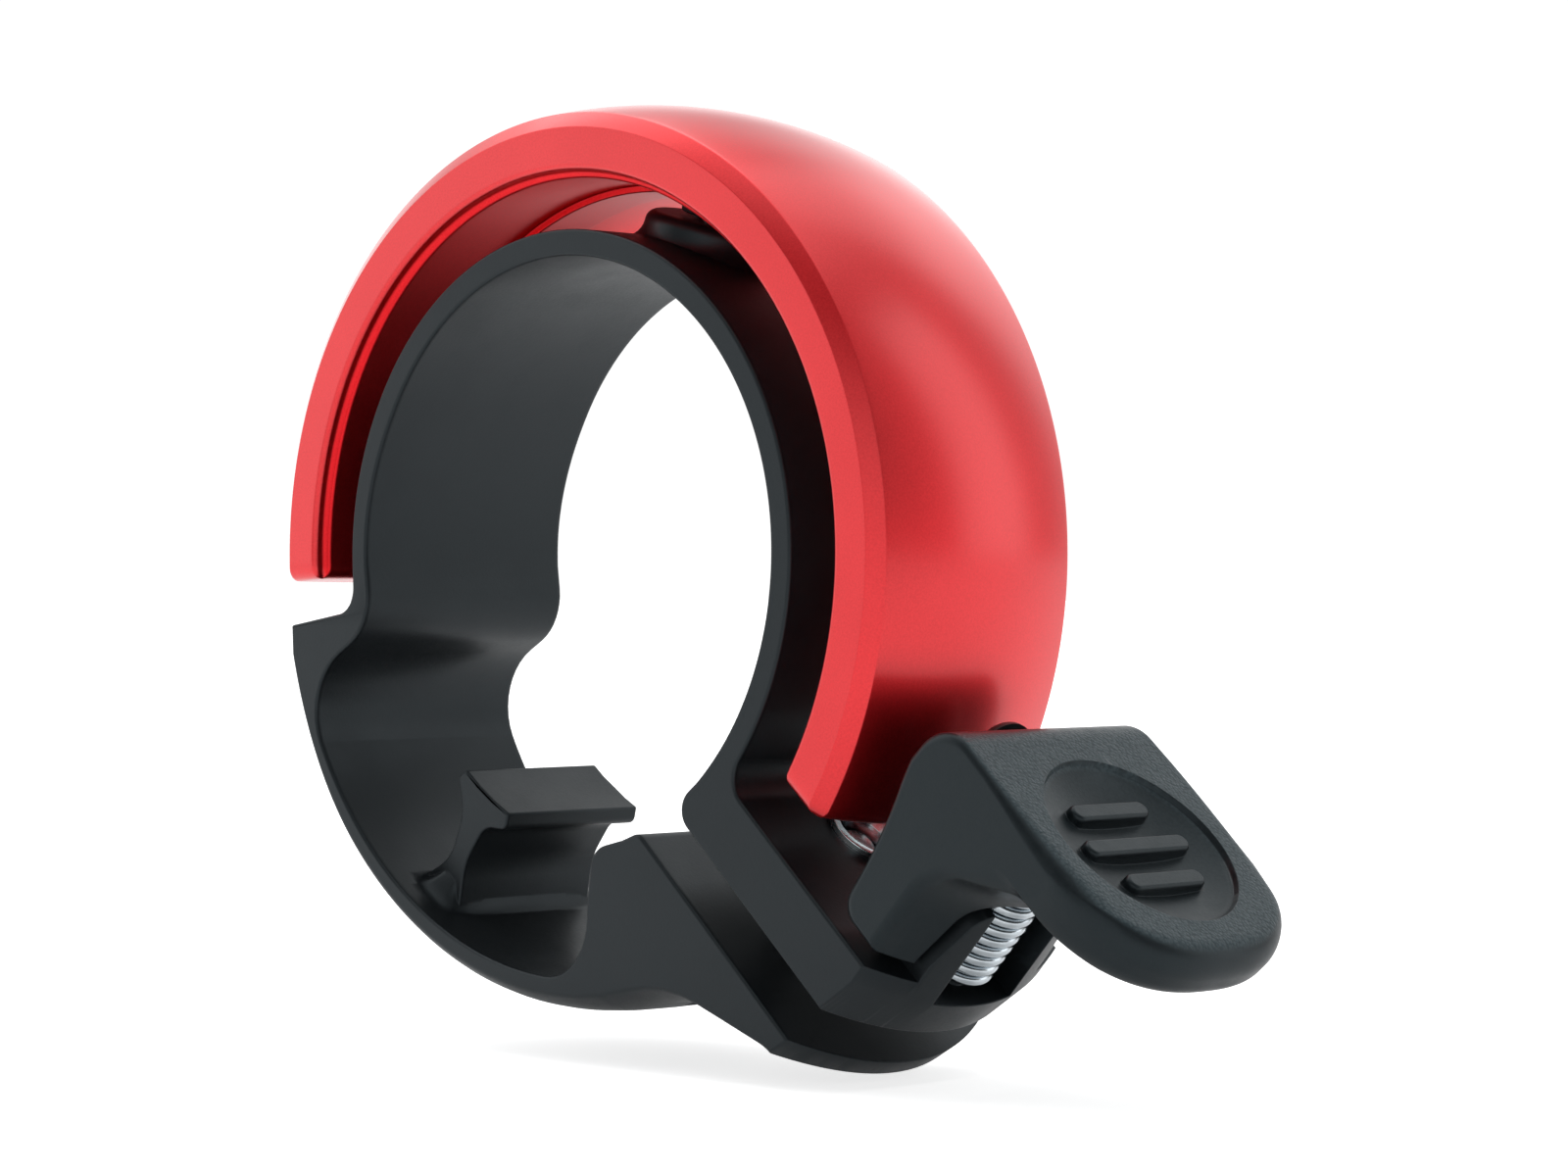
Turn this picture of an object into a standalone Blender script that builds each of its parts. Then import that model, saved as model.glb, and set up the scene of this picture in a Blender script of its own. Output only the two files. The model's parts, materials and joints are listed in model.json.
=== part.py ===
"""Ring-type bicycle bell that wraps round a handlebar.

Row frame: origin at the centre of the whole bell's box. Y runs along the handlebar, Z is up and
+X points to the thumb lever. Shapes are drawn in millimetres round the handlebar's axis at
mid-width. HOME moves that axis into the row frame, and MM turns millimetres into metres.

The two clamp jaws lie in a plane that slopes down from the bore. (reach, rise) are coordinates
in that plane: reach runs outwards along the jaws from the bore axis, and rise is square to
them, upwards. Angles are in degrees round the bore axis, from +X towards +Z, and names ending
in _R are radii: from the bore axis for places, or a round part's own radius.
"""

import math

import bmesh
import bpy
from mathutils import Matrix, Vector

MM = 0.001
HOME = Vector((-7.738, 0.0, 1.29))  # the handlebar's axis in the row frame
CENTRE = Vector((0, 0, 0))

# ---------------------------------------------------------------- shared driving dimensions
BORE_R = 16.0  # seat for a 31.8 mm handlebar
JAW_TILT = 42.1  # slope of the clamp jaws below the horizontal
JAW_END_CURVE = 0.043  # the jaw ends fall back by this times y squared
JAW_STOCK_REACH = 36.0  # stock that the rounded ends are cut from
BOSS_ANGLE = 74.4  # where the bell hangs on the band
HAMMER_ANGLE = -23.4
CLAMP_REACH = 21.6
SPRING_REACH = 30.4
DISH_REACH = 35.1  # middle of the thumb dish


# ---------------------------------------------------------------- frames
def jaw_xz(reach, rise):
    """(x, z) of a point in the jaw plane's coordinates."""
    cosine, sine = math.cos(math.radians(JAW_TILT)), math.sin(math.radians(JAW_TILT))
    return cosine * reach + sine * rise, -sine * reach + cosine * rise


def jaw_point(reach, rise, y):
    x, z = jaw_xz(reach, rise)
    return Vector((x, y, z))


def polar(angle, radius):
    radians = math.radians(angle)
    return radius * math.cos(radians), radius * math.sin(radians)


def jaw_level_angle(rise, radius):
    """Angle at which a level of the jaw plane meets a circle round the bore axis."""
    return -JAW_TILT - math.degrees(math.asin(-rise / radius))


def radial_axis(angle):
    x, z = polar(angle, 1.0)
    return CENTRE, Vector((x, 0, z))


def jaw_axis(reach):
    return jaw_point(reach, 0, 0), jaw_point(0, 1, 0)


# Axes of the turned shapes, as (origin, direction). Heights are measured from the origin.
BELL_AXIS = radial_axis(BOSS_ANGLE)
HAMMER_AXIS = radial_axis(HAMMER_ANGLE)
CLAMP_AXIS = jaw_axis(CLAMP_REACH)
SPRING_AXIS = jaw_axis(SPRING_REACH)
DISH_AXIS = jaw_axis(DISH_REACH)


# ---------------------------------------------------------------- outlines and profiles
def ramp(value, start, length):
    """Smooth rise from 0 at start to 1 at start + length."""
    share = min(1.0, max(0.0, (value - start) / length))
    return share * share * (3 - 2 * share)


def corner(point, radius=0.0, segments=None):
    return point[0], point[1], radius, segments


def arc(radius, start, end, ease=None, first_radius=0.0):
    """Corners about 4 degrees apart round the bore axis. The first one can be filleted."""
    count = max(2, round(abs(end - start) / 4.0))
    corners = []
    for i in range(count + 1):
        angle = start + (end - start) * i / count
        corners.append(corner(polar(angle, radius + (ease(angle) if ease else 0.0))))
    corners[0] = corners[0][:2] + (first_radius, 5)
    return corners


def fillet(path):
    """A closed path of corners as a plain polygon with tangent rounded corners.

    A fillet can be longer than the edges beside it: it swallows the corners within its span.
    """
    points = [Vector(entry[:2]) for entry in path]
    count = len(points)
    start = [0.0]  # length along the path up to each corner
    for i in range(count):
        start.append(start[-1] + (points[(i + 1) % count] - points[i]).length)
    total = start[-1]

    def locate(length):
        """Point and direction of the path at a length along it."""
        length %= total
        for i in range(count):
            if start[i] <= length <= start[i + 1] and start[i + 1] > start[i]:
                edge = points[(i + 1) % count] - points[i]
                share = (length - start[i]) / (start[i + 1] - start[i])
                return points[i] + edge * share, edge.normalized()
        return points[0], (points[1] - points[0]).normalized()

    spans = {}
    for i, (_, _, radius, segments) in enumerate(path):
        if not radius:
            continue
        turn = (points[i] - points[i - 1]).angle(points[(i + 1) % count] - points[i])
        tangent = radius * math.tan(turn / 2)
        low, high = start[i] - tangent, start[i] + tangent
        first, first_way = locate(low)
        last, last_way = locate(high)
        handle = 4 / 3 * math.tan(turn / 4) * radius
        steps = segments or max(2, math.ceil(turn / math.radians(18)))
        rounded = []
        for k in range(steps + 1):
            share = k / steps
            rest = 1 - share
            rounded.append(
                first * rest**3
                + (first + first_way * handle) * 3 * rest * rest * share
                + (last - last_way * handle) * 3 * rest * share * share
                + last * share**3
            )
        spans[i] = (low, high, rounded)

    def swallowed(i):
        return any(
            low < start[i] + shift < high
            for low, high, _ in spans.values()
            for shift in (-total, 0.0, total)
        )

    outline = []
    for i in range(count):
        if i in spans:
            outline += spans[i][2]
        elif not swallowed(i):
            outline.append(points[i])
    return outline


def cylinder(radius, low, high):
    return [(0, low), (radius, low), (radius, high), (0, high)]


def washer(inner, outer, low, high):
    return [(inner, low), (outer, low), (outer, high), (inner, high)]


# ---------------------------------------------------------------- solids
def prism(outline, y0, y1):
    """An (x, z) outline extruded along the handlebar."""
    bm = bmesh.new()
    face = bm.faces.new([bm.verts.new((x, y0, z)) for x, z in outline])
    side = bmesh.ops.extrude_face_region(bm, geom=[face])["geom"]
    moved = [v for v in side if isinstance(v, bmesh.types.BMVert)]
    bmesh.ops.translate(bm, vec=(0, y1 - y0, 0), verts=moved)
    return bm


def loft(rings):
    """Rings of the same number of points joined in order, with a face over each end."""
    bm = bmesh.new()
    verts = [[bm.verts.new(point) for point in ring] for ring in rings]
    count = len(rings[0])
    for low, high in zip(verts, verts[1:]):
        for i in range(count):
            j = (i + 1) % count
            bm.faces.new((low[i], low[j], high[j], high[i]))
    bm.faces.new(list(reversed(verts[0])))
    bm.faces.new(verts[-1])
    return bm


def loft_along_jaws(outline, reaches):
    """A (y, rise) outline carried outwards along the jaws."""
    return loft([[jaw_point(reach, rise, y) for y, rise in outline] for reach in reaches])


def stand_on(bm, axis):
    """Move a shape drawn round Z onto an (origin, direction) axis."""
    origin, direction = axis
    turn = Vector((0, 0, 1)).rotation_difference(direction).to_matrix().to_4x4()
    bmesh.ops.transform(bm, matrix=Matrix.Translation(origin) @ turn, verts=bm.verts)
    return bm


def turned(profile, axis, steps=24, closed=False):
    """A (radius, height) profile spun round an axis. An open one starts and ends on the axis."""
    bm = bmesh.new()
    verts = [bm.verts.new((radius, 0, height)) for radius, height in profile]
    edges = [bm.edges.new(pair) for pair in zip(verts, verts[1:])]
    if closed:
        edges.append(bm.edges.new((verts[-1], verts[0])))
    bmesh.ops.spin(
        bm, geom=verts + edges, cent=(0, 0, 0), axis=(0, 0, 1), dvec=(0, 0, 0),
        angle=math.tau, steps=steps, use_merge=True,
    )
    bmesh.ops.remove_doubles(bm, verts=bm.verts, dist=1e-5)
    return stand_on(bm, axis)


def hexagon(across_flats, low, high, axis):
    """A hexagonal key socket, as a cutter."""
    radius = across_flats / math.sqrt(3)
    angles = [k * math.pi / 3 for k in range(6)]
    rings = [
        [Vector((radius * math.cos(a), radius * math.sin(a), height)) for a in angles]
        for height in (low, high)
    ]
    return stand_on(loft(rings), axis)


# ---------------------------------------------------------------- objects
def place(name, bm, origin, collection):
    """An object in metres from a bmesh in millimetres, with its origin at the given point."""
    bmesh.ops.recalc_face_normals(bm, faces=bm.faces)
    bmesh.ops.translate(bm, vec=-origin, verts=bm.verts)
    bmesh.ops.scale(bm, vec=(MM, MM, MM), verts=bm.verts)
    mesh = bpy.data.meshes.new(name)
    bm.to_mesh(mesh)
    bm.free()
    obj = bpy.data.objects.new(name, mesh)
    collection.objects.link(obj)
    obj.location = (origin + HOME) * MM
    return obj


def make_piece(name, bm, material, origin=CENTRE, parent=None, sharp=32.0):
    """A visible piece. Edges that turn by more than sharp degrees stay sharp."""
    piece = place(name, bm, origin, bpy.context.scene.collection)
    if parent:
        piece.parent = parent
        piece.location -= parent.location
    piece.data.materials.append(material)
    piece.data.shade_smooth()
    piece.data.set_sharp_from_angle(angle=math.radians(sharp))
    return piece


def combine(piece, name, bm, operation):
    """A Boolean on a piece with a hidden helper solid that isn't part of the bell."""
    helper = place(name, bm, CENTRE, bpy.data.collections["tools"])
    helper.hide_render = True
    helper.display_type = "WIRE"
    modifier = piece.modifiers.new(name, "BOOLEAN")
    modifier.object = helper
    modifier.operation = operation
    modifier.solver = "EXACT"


def add(piece, name, bm):
    combine(piece, name, bm, "UNION")


def cut(piece, name, bm):
    combine(piece, name, bm, "DIFFERENCE")


def make_material(name, color, roughness, metallic=0.0):
    material = bpy.data.materials.new(name)
    material.use_nodes = True
    shader = material.node_tree.nodes["Principled BSDF"]
    shader.inputs["Base Color"].default_value = (*color, 1.0)
    shader.inputs["Roughness"].default_value = roughness
    shader.inputs["Metallic"].default_value = metallic
    material.diffuse_color = (*color, 1.0)
    return material


# ---------------------------------------------------------------- mounting bracket
BAND_R = 17.43  # outside of the split band
BAND_HALF_W = 7.42  # half the moulding's width along the handlebar
BAND_STATIONS = (-1.0, -0.9, -0.72, -0.35, 0.35, 0.72, 0.9, 1.0)  # shares of that half width
LEG_EASE = 0.28  # how far the band relaxes off the handlebar at the flexing leg, on its -X side
LOWER_OUT_R = 23.88  # outside of the lower band, at its two faces
LOWER_CROWN = 1.0  # how much fuller the lower band is at mid-width
LOWER_IN_R = 22.95  # inside of the lower band
LIP_THIN = 0.28  # the lower band gets this much thinner towards the pointed lip
LIP_ANGLE = 194.0
JAW_TOP_RISE = -0.30
JAW_UNDER_RISE = -4.12
LOW_JAW_TOP_RISE = -6.85
LOW_JAW_UNDER_RISE = -8.15
LOW_JAW_SEAT_R = BORE_R + 0.05
JAW_END_REACH = 33.0  # reach of the upper jaw at mid-width
LOW_JAW_END_REACH = 31.8
CUTTER_REACH, CUTTER_HALF_W = 41.0, 9.0  # outer limits of the jaw end cutters

SADDLE_HALF_W = 4.95
# Angle, radius from the bore axis, fillet radius.
SADDLE_CORNERS = [
    (229.3, BORE_R, 0.12), (234.0, BORE_R, 0.0), (239.0, BORE_R, 0.0), (244.5, BORE_R, 0.12),
    (245.2, 16.95, 0.5), (239.7, 17.70, 1.3), (238.7, 20.4, 3.5), (241.2, 23.3, 0.0),
    (232.2, 23.3, 0.0), (235.3, 20.8, 2.6), (233.6, 18.0, 3.0), (228.3, 16.75, 0.35),
]

BOSS_R = 4.1
BOSS_TOP_R = 18.7
BOSS_FOOT_R = 5.3  # the boss's own radius where it spreads into the band
BOSS_BASE = 16.45

TOWER_WALL_Y = 2.6  # the walls' inner sides, before the window is cut
TOWER_OUTER_Y = 4.5
TOWER_INNER_REACH = 29.1
TOWER_BASE_RISE = -1.0
TOWER_TOP_RISE = 4.75

WINDOW_HALF_W = 2.93
WINDOW_REACHES = (27.9, 37.0)
WINDOW_RISES = (-1.53, 6.5)

# Profiles are (radius, height along the axis).
SPRING_PEG = [(0, -2.2), (1.15, -2.2), (1.15, 0.4), (0.85, 0.8), (0, 0.8)]
CLAMP_HOLE = [
    (0, -17.0), (2.95, -17.0), (2.95, -9.0), (1.6, -9.0), (1.6, -5.4),
    (2.05, -5.4), (2.05, -1.1), (2.45, -1.1), (2.45, 1.5), (0, 1.5),
]
MOUNT_HOLE = [(0, 14.5), (2.65, 14.5), (2.65, 17.45), (1.6, 17.45), (1.6, 19.6), (0, 19.6)]


def leg_ease(angle):
    """The band leaves the handlebar's circle a little where the flexing leg begins."""
    return LEG_EASE * ramp(angle, 148.0, 30.0)


def swell(angle):
    """Share of the crown on the lower band: none at the pointed lip, most under the pocket."""
    return 1.2 * ramp(angle, 190.0, 45.0) - 0.2 * ramp(angle, 240.0, 38.0)


def bracket_outline(y):
    """Band, flexing leg, lower band and both jaws, as one closed (x, z) outline."""
    crown = LOWER_CROWN * (1 - abs(y / BAND_HALF_W) ** 6)

    def lower_ease(angle):
        return crown * swell(angle) - LIP_THIN * (1 - ramp(angle, LIP_ANGLE, 30.0))

    # Upper jaw: its inner tip, underside, and top face up to the band.
    tip = jaw_level_angle(JAW_UNDER_RISE, BORE_R)
    path = [
        corner(polar(tip, BORE_R), 1.25, 5),
        corner(jaw_xz(JAW_STOCK_REACH, JAW_UNDER_RISE)),
        corner(jaw_xz(JAW_STOCK_REACH, JAW_TOP_RISE)),
    ]
    root = jaw_level_angle(JAW_TOP_RISE, BAND_R)
    path += arc(BAND_R, root, 184.2, ease=lambda a: 0.35 * leg_ease(a), first_radius=1.5)
    # Flexing leg: the notch, the pointed lip and the outside of the lower band.
    path += [corner((-17.40, -3.18), 1.5, 5), corner((-22.98, -4.05))]
    path += arc(LOWER_OUT_R, LIP_ANGLE, 278.0, ease=lower_ease)
    # Lower jaw: underside, end, and its tip on the handlebar.
    low_tip = jaw_level_angle(LOW_JAW_TOP_RISE, BORE_R)
    path += [
        corner((8.03 + 0.33 * crown, -22.62 - 0.94 * crown), 9.0, 5),
        corner(jaw_xz(28.6, -8.42), 3.0, 3),
        corner(jaw_xz(JAW_STOCK_REACH, LOW_JAW_UNDER_RISE + 0.25)),
        corner(jaw_xz(JAW_STOCK_REACH, LOW_JAW_TOP_RISE - 0.1)),
        corner(polar(low_tip, LOW_JAW_SEAT_R), 0.7, 4),
        corner(polar(low_tip - 5, LOW_JAW_SEAT_R)),
        corner(polar(-80.8, LOW_JAW_SEAT_R), 1.4, 4),
    ]
    # Pocket inside the lower band.
    path += [corner((2.15, -19.0)), corner((2.0, -22.86), 3.6, 6)]
    path += arc(LOWER_IN_R, 272.0, 204.0)
    path += [corner((-21.70, -7.47), 3.2, 6), corner((-16.27, -3.66), 2.8, 5)]
    # The handlebar seat, back to the upper jaw's tip.
    path += arc(BORE_R, 182.0, tip + 8.0, ease=leg_ease)
    return fillet(path)


def saddle():
    """The third seat: an anvil-shaped post that stands on the lower band."""
    path = [corner(polar(angle, radius), rounding) for angle, radius, rounding in SADDLE_CORNERS]
    return prism(fillet(path), -SADDLE_HALF_W, SADDLE_HALF_W)


def boss():
    """The round boss that carries the bell, spread into the band by a fillet."""
    path = [
        corner((0.0, BOSS_BASE)),
        corner((BOSS_FOOT_R, BOSS_BASE)),
        corner((BOSS_FOOT_R, 16.62)),
        corner((BOSS_R + 0.1, 17.35), 1.1, 4),
        corner((BOSS_R, BOSS_TOP_R), 0.55, 4),
        corner((0.0, BOSS_TOP_R)),
    ]
    return turned(fillet(path), BELL_AXIS, 32)


def tower_wall(side):
    """One wall of the spring tower, its outer corner rounded to follow the lever's arch."""
    path = [
        corner((side * TOWER_WALL_Y, TOWER_BASE_RISE)),
        corner((side * TOWER_OUTER_Y, TOWER_BASE_RISE)),
        corner((side * TOWER_OUTER_Y, 0.8)),
        corner((side * (TOWER_OUTER_Y - 0.95), TOWER_TOP_RISE), 1.1, 4),
        corner((side * TOWER_WALL_Y, TOWER_TOP_RISE)),
    ]
    return loft_along_jaws(fillet(path), (TOWER_INNER_REACH, JAW_STOCK_REACH - 1))


def jaw_end_cutter(low, bend, high, end_reach, slope):
    """The stock outside a jaw's rounded end. Below the bend the end leans back by slope per mm."""
    ys = [CUTTER_HALF_W * (-1 + 2 * i / 24) for i in range(25)]
    rings = []
    for rise in (low, bend, high):
        reach = end_reach - slope * max(0.0, bend - rise)
        edge = [(reach - JAW_END_CURVE * y * y, y) for y in ys]
        edge += [(CUTTER_REACH, CUTTER_HALF_W), (CUTTER_REACH, -CUTTER_HALF_W)]
        rings.append([jaw_point(reach_at_y, rise, y) for reach_at_y, y in edge])
    return loft(rings)


def window():
    """The gap between the tower walls, sunk into the upper jaw."""
    (inner, outer), (floor, top) = WINDOW_REACHES, WINDOW_RISES
    outline = [
        jaw_xz(reach, rise)
        for reach, rise in ((inner, floor), (outer, floor), (outer, top), (inner, top))
    ]
    return prism(outline, -WINDOW_HALF_W, WINDOW_HALF_W)


def build_bracket(material):
    """Bracket: one moulding."""
    rings = []
    for share in BAND_STATIONS:
        y = BAND_HALF_W * share
        rings.append([Vector((x, y, z)) for x, z in bracket_outline(y)])
    bracket = make_piece("mounting_bracket", loft(rings), material)
    add(bracket, "saddle_stock", saddle())
    add(bracket, "boss_stock", boss())
    add(bracket, "tower_stock_front", tower_wall(-1))
    add(bracket, "tower_stock_back", tower_wall(1))
    upper_end = jaw_end_cutter(-5.5, -1.5, 7.0, end_reach=JAW_END_REACH, slope=0.26)
    cut(bracket, "upper_end_cutter", upper_end)
    lower_end = jaw_end_cutter(-11.5, -6.95, -5.5, end_reach=LOW_JAW_END_REACH, slope=0.32)
    cut(bracket, "lower_end_cutter", lower_end)
    cut(bracket, "window_cutter", window())
    add(bracket, "peg_stock", turned(SPRING_PEG, SPRING_AXIS, 16))
    cut(bracket, "clamp_hole_cutter", turned(CLAMP_HOLE, CLAMP_AXIS, 28))
    cut(bracket, "mount_hole_cutter", turned(MOUNT_HOLE, BELL_AXIS))


# ---------------------------------------------------------------- bell shell and its mounting
BELL_IN_R = 20.59
BELL_FACE_R = 22.89
BELL_EDGE_R = 23.72
BELL_CROWN_R = 24.57
BELL_HALF_W = 7.60
BELL_EDGE_Y = 6.95
BELL_SHOULDER_Y = 7.2  # step down inside each face
BELL_SEAT_R = 20.2  # inner surface
BELL_RIB_R = 19.8  # low rib along the middle, which the mounting screw is tapped into
BELL_RIB_HALF_W = 1.6
BELL_START, BELL_END = -34.8, 183.8  # angles of the bell's two ends

MOUNT_HEAD_R = 2.35
MOUNT_SHANK_R = 1.25
MOUNT_HEAD_BASE = 16.2
# (radius, height along the axis)
MOUNT_SCREW = [
    (0, MOUNT_HEAD_BASE), (2.0, MOUNT_HEAD_BASE), (MOUNT_HEAD_R, 16.5), (MOUNT_HEAD_R, 17.2),
    (MOUNT_SHANK_R, 17.2), (MOUNT_SHANK_R, 22.3), (1.0, 22.55), (0, 22.55),
]


def bell_profile():
    """(radius, y) of the bell's section: crowned outside, with a stepped inner face."""
    sagitta = BELL_CROWN_R - BELL_EDGE_R
    crown_radius = (BELL_EDGE_Y**2 + sagitta**2) / (2 * sagitta)
    outer = []
    for i in range(9):
        y = -BELL_EDGE_Y + 2 * BELL_EDGE_Y * i / 8
        outer.append((BELL_CROWN_R - crown_radius + math.sqrt(crown_radius**2 - y * y), y))
    inner = [
        (BELL_IN_R, BELL_HALF_W),
        (BELL_IN_R, BELL_SHOULDER_Y),
        (BELL_SEAT_R + 0.12, BELL_SHOULDER_Y - 0.04),
        (BELL_SEAT_R, BELL_SHOULDER_Y - 0.2),
        (BELL_SEAT_R, BELL_RIB_HALF_W),
        (BELL_RIB_R, BELL_RIB_HALF_W),
    ]
    mirrored = [(radius, -y) for radius, y in reversed(inner)]
    faces = [(BELL_FACE_R, -BELL_HALF_W)], [(BELL_FACE_R, BELL_HALF_W)]
    return faces[0] + outer + faces[1] + inner + mirrored


def build_bell(material):
    """Bell: a curved bar swept round the bracket, tapped for its one mounting screw."""
    bm = bmesh.new()
    verts = []
    for radius, y in bell_profile():
        x, z = polar(BELL_START, radius)
        verts.append(bm.verts.new((x, y, z)))
    edges = [bm.edges.new((verts[i - 1], verts[i])) for i in range(len(verts))]
    bm.faces.new(verts)
    swept = bmesh.ops.spin(
        bm, geom=verts + edges, cent=(0, 0, 0), axis=(0, -1, 0), dvec=(0, 0, 0),
        angle=math.radians(BELL_END - BELL_START), steps=54, use_merge=False,
    )
    bm.faces.new([v for v in swept["geom_last"] if isinstance(v, bmesh.types.BMVert)])
    bell = make_piece("bell_shell", bm, material, sharp=25.0)
    cut(bell, "tapped_hole_cutter", turned(cylinder(1.5, 19.0, 22.9), BELL_AXIS))


def build_bell_mount(steel, rubber):
    """The screw through the boss into the bell, and the washer between boss and bell."""
    head = BELL_AXIS[1] * MOUNT_HEAD_BASE
    screw = make_piece("bell_mount_screw", turned(MOUNT_SCREW, BELL_AXIS), steel, origin=head)
    cut(screw, "mount_socket_cutter", hexagon(1.5, 15.5, 16.9, BELL_AXIS))
    isolator = washer(inner=1.55, outer=2.3, low=18.9, high=19.6)
    make_piece("bell_isolator_washer", turned(isolator, BELL_AXIS, closed=True), rubber)


# ---------------------------------------------------------------- clamp
CLAMP_SHANK_R = 1.25
CLAMP_HEAD_R = 2.6
CLAMP_HEAD_TOP = -9.8
# Profiles are (radius, height along the axis).
CLAMP_SCREW = [
    (0, -11.6), (2.25, -11.6), (CLAMP_HEAD_R, -11.25), (CLAMP_HEAD_R, CLAMP_HEAD_TOP),
    (CLAMP_SHANK_R, CLAMP_HEAD_TOP), (CLAMP_SHANK_R, -1.4), (0.95, -1.1), (0, -1.1),
]
NUT_INSERT = [
    (1.45, -3.9), (1.85, -3.9), (1.85, -0.9), (2.25, -0.9),
    (2.25, -0.22), (2.1, -0.08), (1.6, -0.08), (1.45, -0.25),
]


def build_clamp(steel):
    """A screw from below, through the lower jaw, into an insert in the upper one."""
    head = jaw_point(CLAMP_REACH, CLAMP_HEAD_TOP, 0)
    screw = make_piece("clamp_screw", turned(CLAMP_SCREW, CLAMP_AXIS, 28), steel, origin=head)
    cut(screw, "clamp_socket_cutter", hexagon(2.5, -12.5, -10.4, CLAMP_AXIS))
    under_jaw = washer(inner=1.6, outer=2.75, low=-9.65, high=-9.15)
    make_piece("clamp_screw_washer", turned(under_jaw, CLAMP_AXIS, 28, closed=True), steel)
    make_piece("clamp_nut_insert", turned(NUT_INSERT, CLAMP_AXIS, 28, closed=True), steel)


# ---------------------------------------------------------------- striker
PIVOT = jaw_point(SPRING_REACH, 1.0, 0)  # bending point of the spring, on the lever's hinge line

LEVER_HALF_W = 7.10
LEVER_INNER_R = 27.3  # curved side that faces the bell
LEVER_TOP_RISE = 12.5
LEVER_UNDER_RISE = 9.4
LEVER_FOOT_RISE = 0.45
LEVER_FOOT_REACH = 32.6
LEVER_EDGE_Y, LEVER_EDGE_TRIM = 0.7, 0.45  # rounding of the lever's two cheeks
LEVER_TAPER = 0.045  # how much wider the paddle is than the inner side, as a share of width
PADDLE_STRAIGHT_REACH = 37.3
PADDLE_END_REACH = 43.4

ARCH_HALF_W = 4.9
ARCH_BASE_RISE = -1.2
ARCH_TOP_RISE = 6.0
ARCH_REACHES = (27.95, 39.0)

SPRING_POCKET_R, SPRING_POCKET_RISE = 2.4, 6.7  # round recess over the spring, in the lever
# (radius, height along the axis)
LEVER_PEG = [(0, 4.3), (0.85, 4.3), (1.15, 4.7), (1.15, 7.6), (0, 7.6)]

DISH_R = 5.6
DISH_DEPTH = 1.05
DISH_POWER = 2.6  # how flat the dish's floor is
RIDGE_R = 0.42
RIDGES = ((-2.4, 2.3), (0.0, 3.3), (2.4, 2.3))  # offset from the dish's middle, half length

HAMMER_TIP_R = 26.3
HAMMER_DOME_R = 2.3
HAMMER_STEM_R = 1.2
HAMMER_BORE_R = HAMMER_DOME_R + 0.25
HAMMER_ORIGIN_R = 27.0

SPRING_MEAN_R = 1.77
SPRING_WIRE_R = 0.33
SPRING_BASE_RISE = -1.20
SPRING_TOP_RISE = 6.35
SPRING_TURNS = 10


def paddle_reach(y):
    """How far the paddle's blunt rounded end reaches at this y."""
    side = min(1.0, abs(y) / LEVER_HALF_W)
    bulge = (1 - side**2.5) ** (1 / 2.2)
    return PADDLE_STRAIGHT_REACH + (PADDLE_END_REACH - PADDLE_STRAIGHT_REACH) * bulge


def widen(reach, rise):
    """The lever's cheeks spread a little towards the paddle's top."""
    return 0.985 + LEVER_TAPER * ramp(reach, 27.0, 9.0) * ramp(rise, 8.4, 4.0)


def lever_section(y):
    """(reach, rise) of the lever at this y: foot, end face, paddle, curved inner side."""
    edge = max(0.0, abs(y) - (LEVER_HALF_W - LEVER_EDGE_Y)) / LEVER_EDGE_Y
    trim = LEVER_EDGE_TRIM * (1 - math.sqrt(max(0.0, 1 - edge * edge)))
    foot = LEVER_FOOT_REACH - JAW_END_CURVE * y * y  # curved like the jaw's end
    end = paddle_reach(y)
    path = [
        corner((27.35 + trim, LEVER_FOOT_RISE + trim), 1.2, 3),
        corner((foot - trim, LEVER_FOOT_RISE + trim)),
        corner((foot - trim + 0.05, 2.6)),
        corner((foot - trim + 0.9, 9.6 + trim), 4.3, 7),
        corner((end - 0.35, LEVER_UNDER_RISE + trim), 1.1, 3),
        corner((end, LEVER_TOP_RISE - trim), 1.0, 3),
        corner((26.0 + trim, LEVER_TOP_RISE - trim), 2.3, 5),
        corner((25.76 + trim, 9.4), 0.7, 2),
    ]
    for rise in (8.3, 6.4, 4.4, 2.6):
        path.append(corner((math.sqrt(LEVER_INNER_R**2 - rise * rise) + trim, rise)))
    return fillet(path)


def lever_stock():
    rings = []
    for i in range(19):
        y = LEVER_HALF_W * math.sin(math.pi / 2 * (-1 + 2 * i / 18))
        section = lever_section(y)
        rings.append([jaw_point(reach, rise, y * widen(reach, rise)) for reach, rise in section])
    return loft(rings)


def arch():
    """The opening in the lever that straddles the spring tower."""
    shoulder = ARCH_HALF_W - 0.9, ARCH_TOP_RISE - 0.3
    path = [
        corner((-ARCH_HALF_W, ARCH_BASE_RISE)),
        corner((ARCH_HALF_W, ARCH_BASE_RISE)),
        corner((ARCH_HALF_W, 0.8)),
        corner(shoulder, 2.3, 5),
        corner((0.0, ARCH_TOP_RISE)),
        corner((-shoulder[0], shoulder[1]), 2.3, 5),
        corner((-ARCH_HALF_W, 0.8)),
    ]
    return loft_along_jaws(fillet(path), ARCH_REACHES)


def dish():
    """The shallow thumb dish in the paddle's top."""
    profile = [(0, LEVER_TOP_RISE - DISH_DEPTH)]
    for i in range(1, 8):
        radius = (DISH_R + 0.7) * i / 7  # runs past the rim, above the paddle
        depth = DISH_DEPTH * (1 - (radius / DISH_R) ** DISH_POWER)
        profile.append((radius, LEVER_TOP_RISE - depth))
    profile.append((0, profile[-1][1]))
    return turned(profile, DISH_AXIS, 36)


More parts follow.
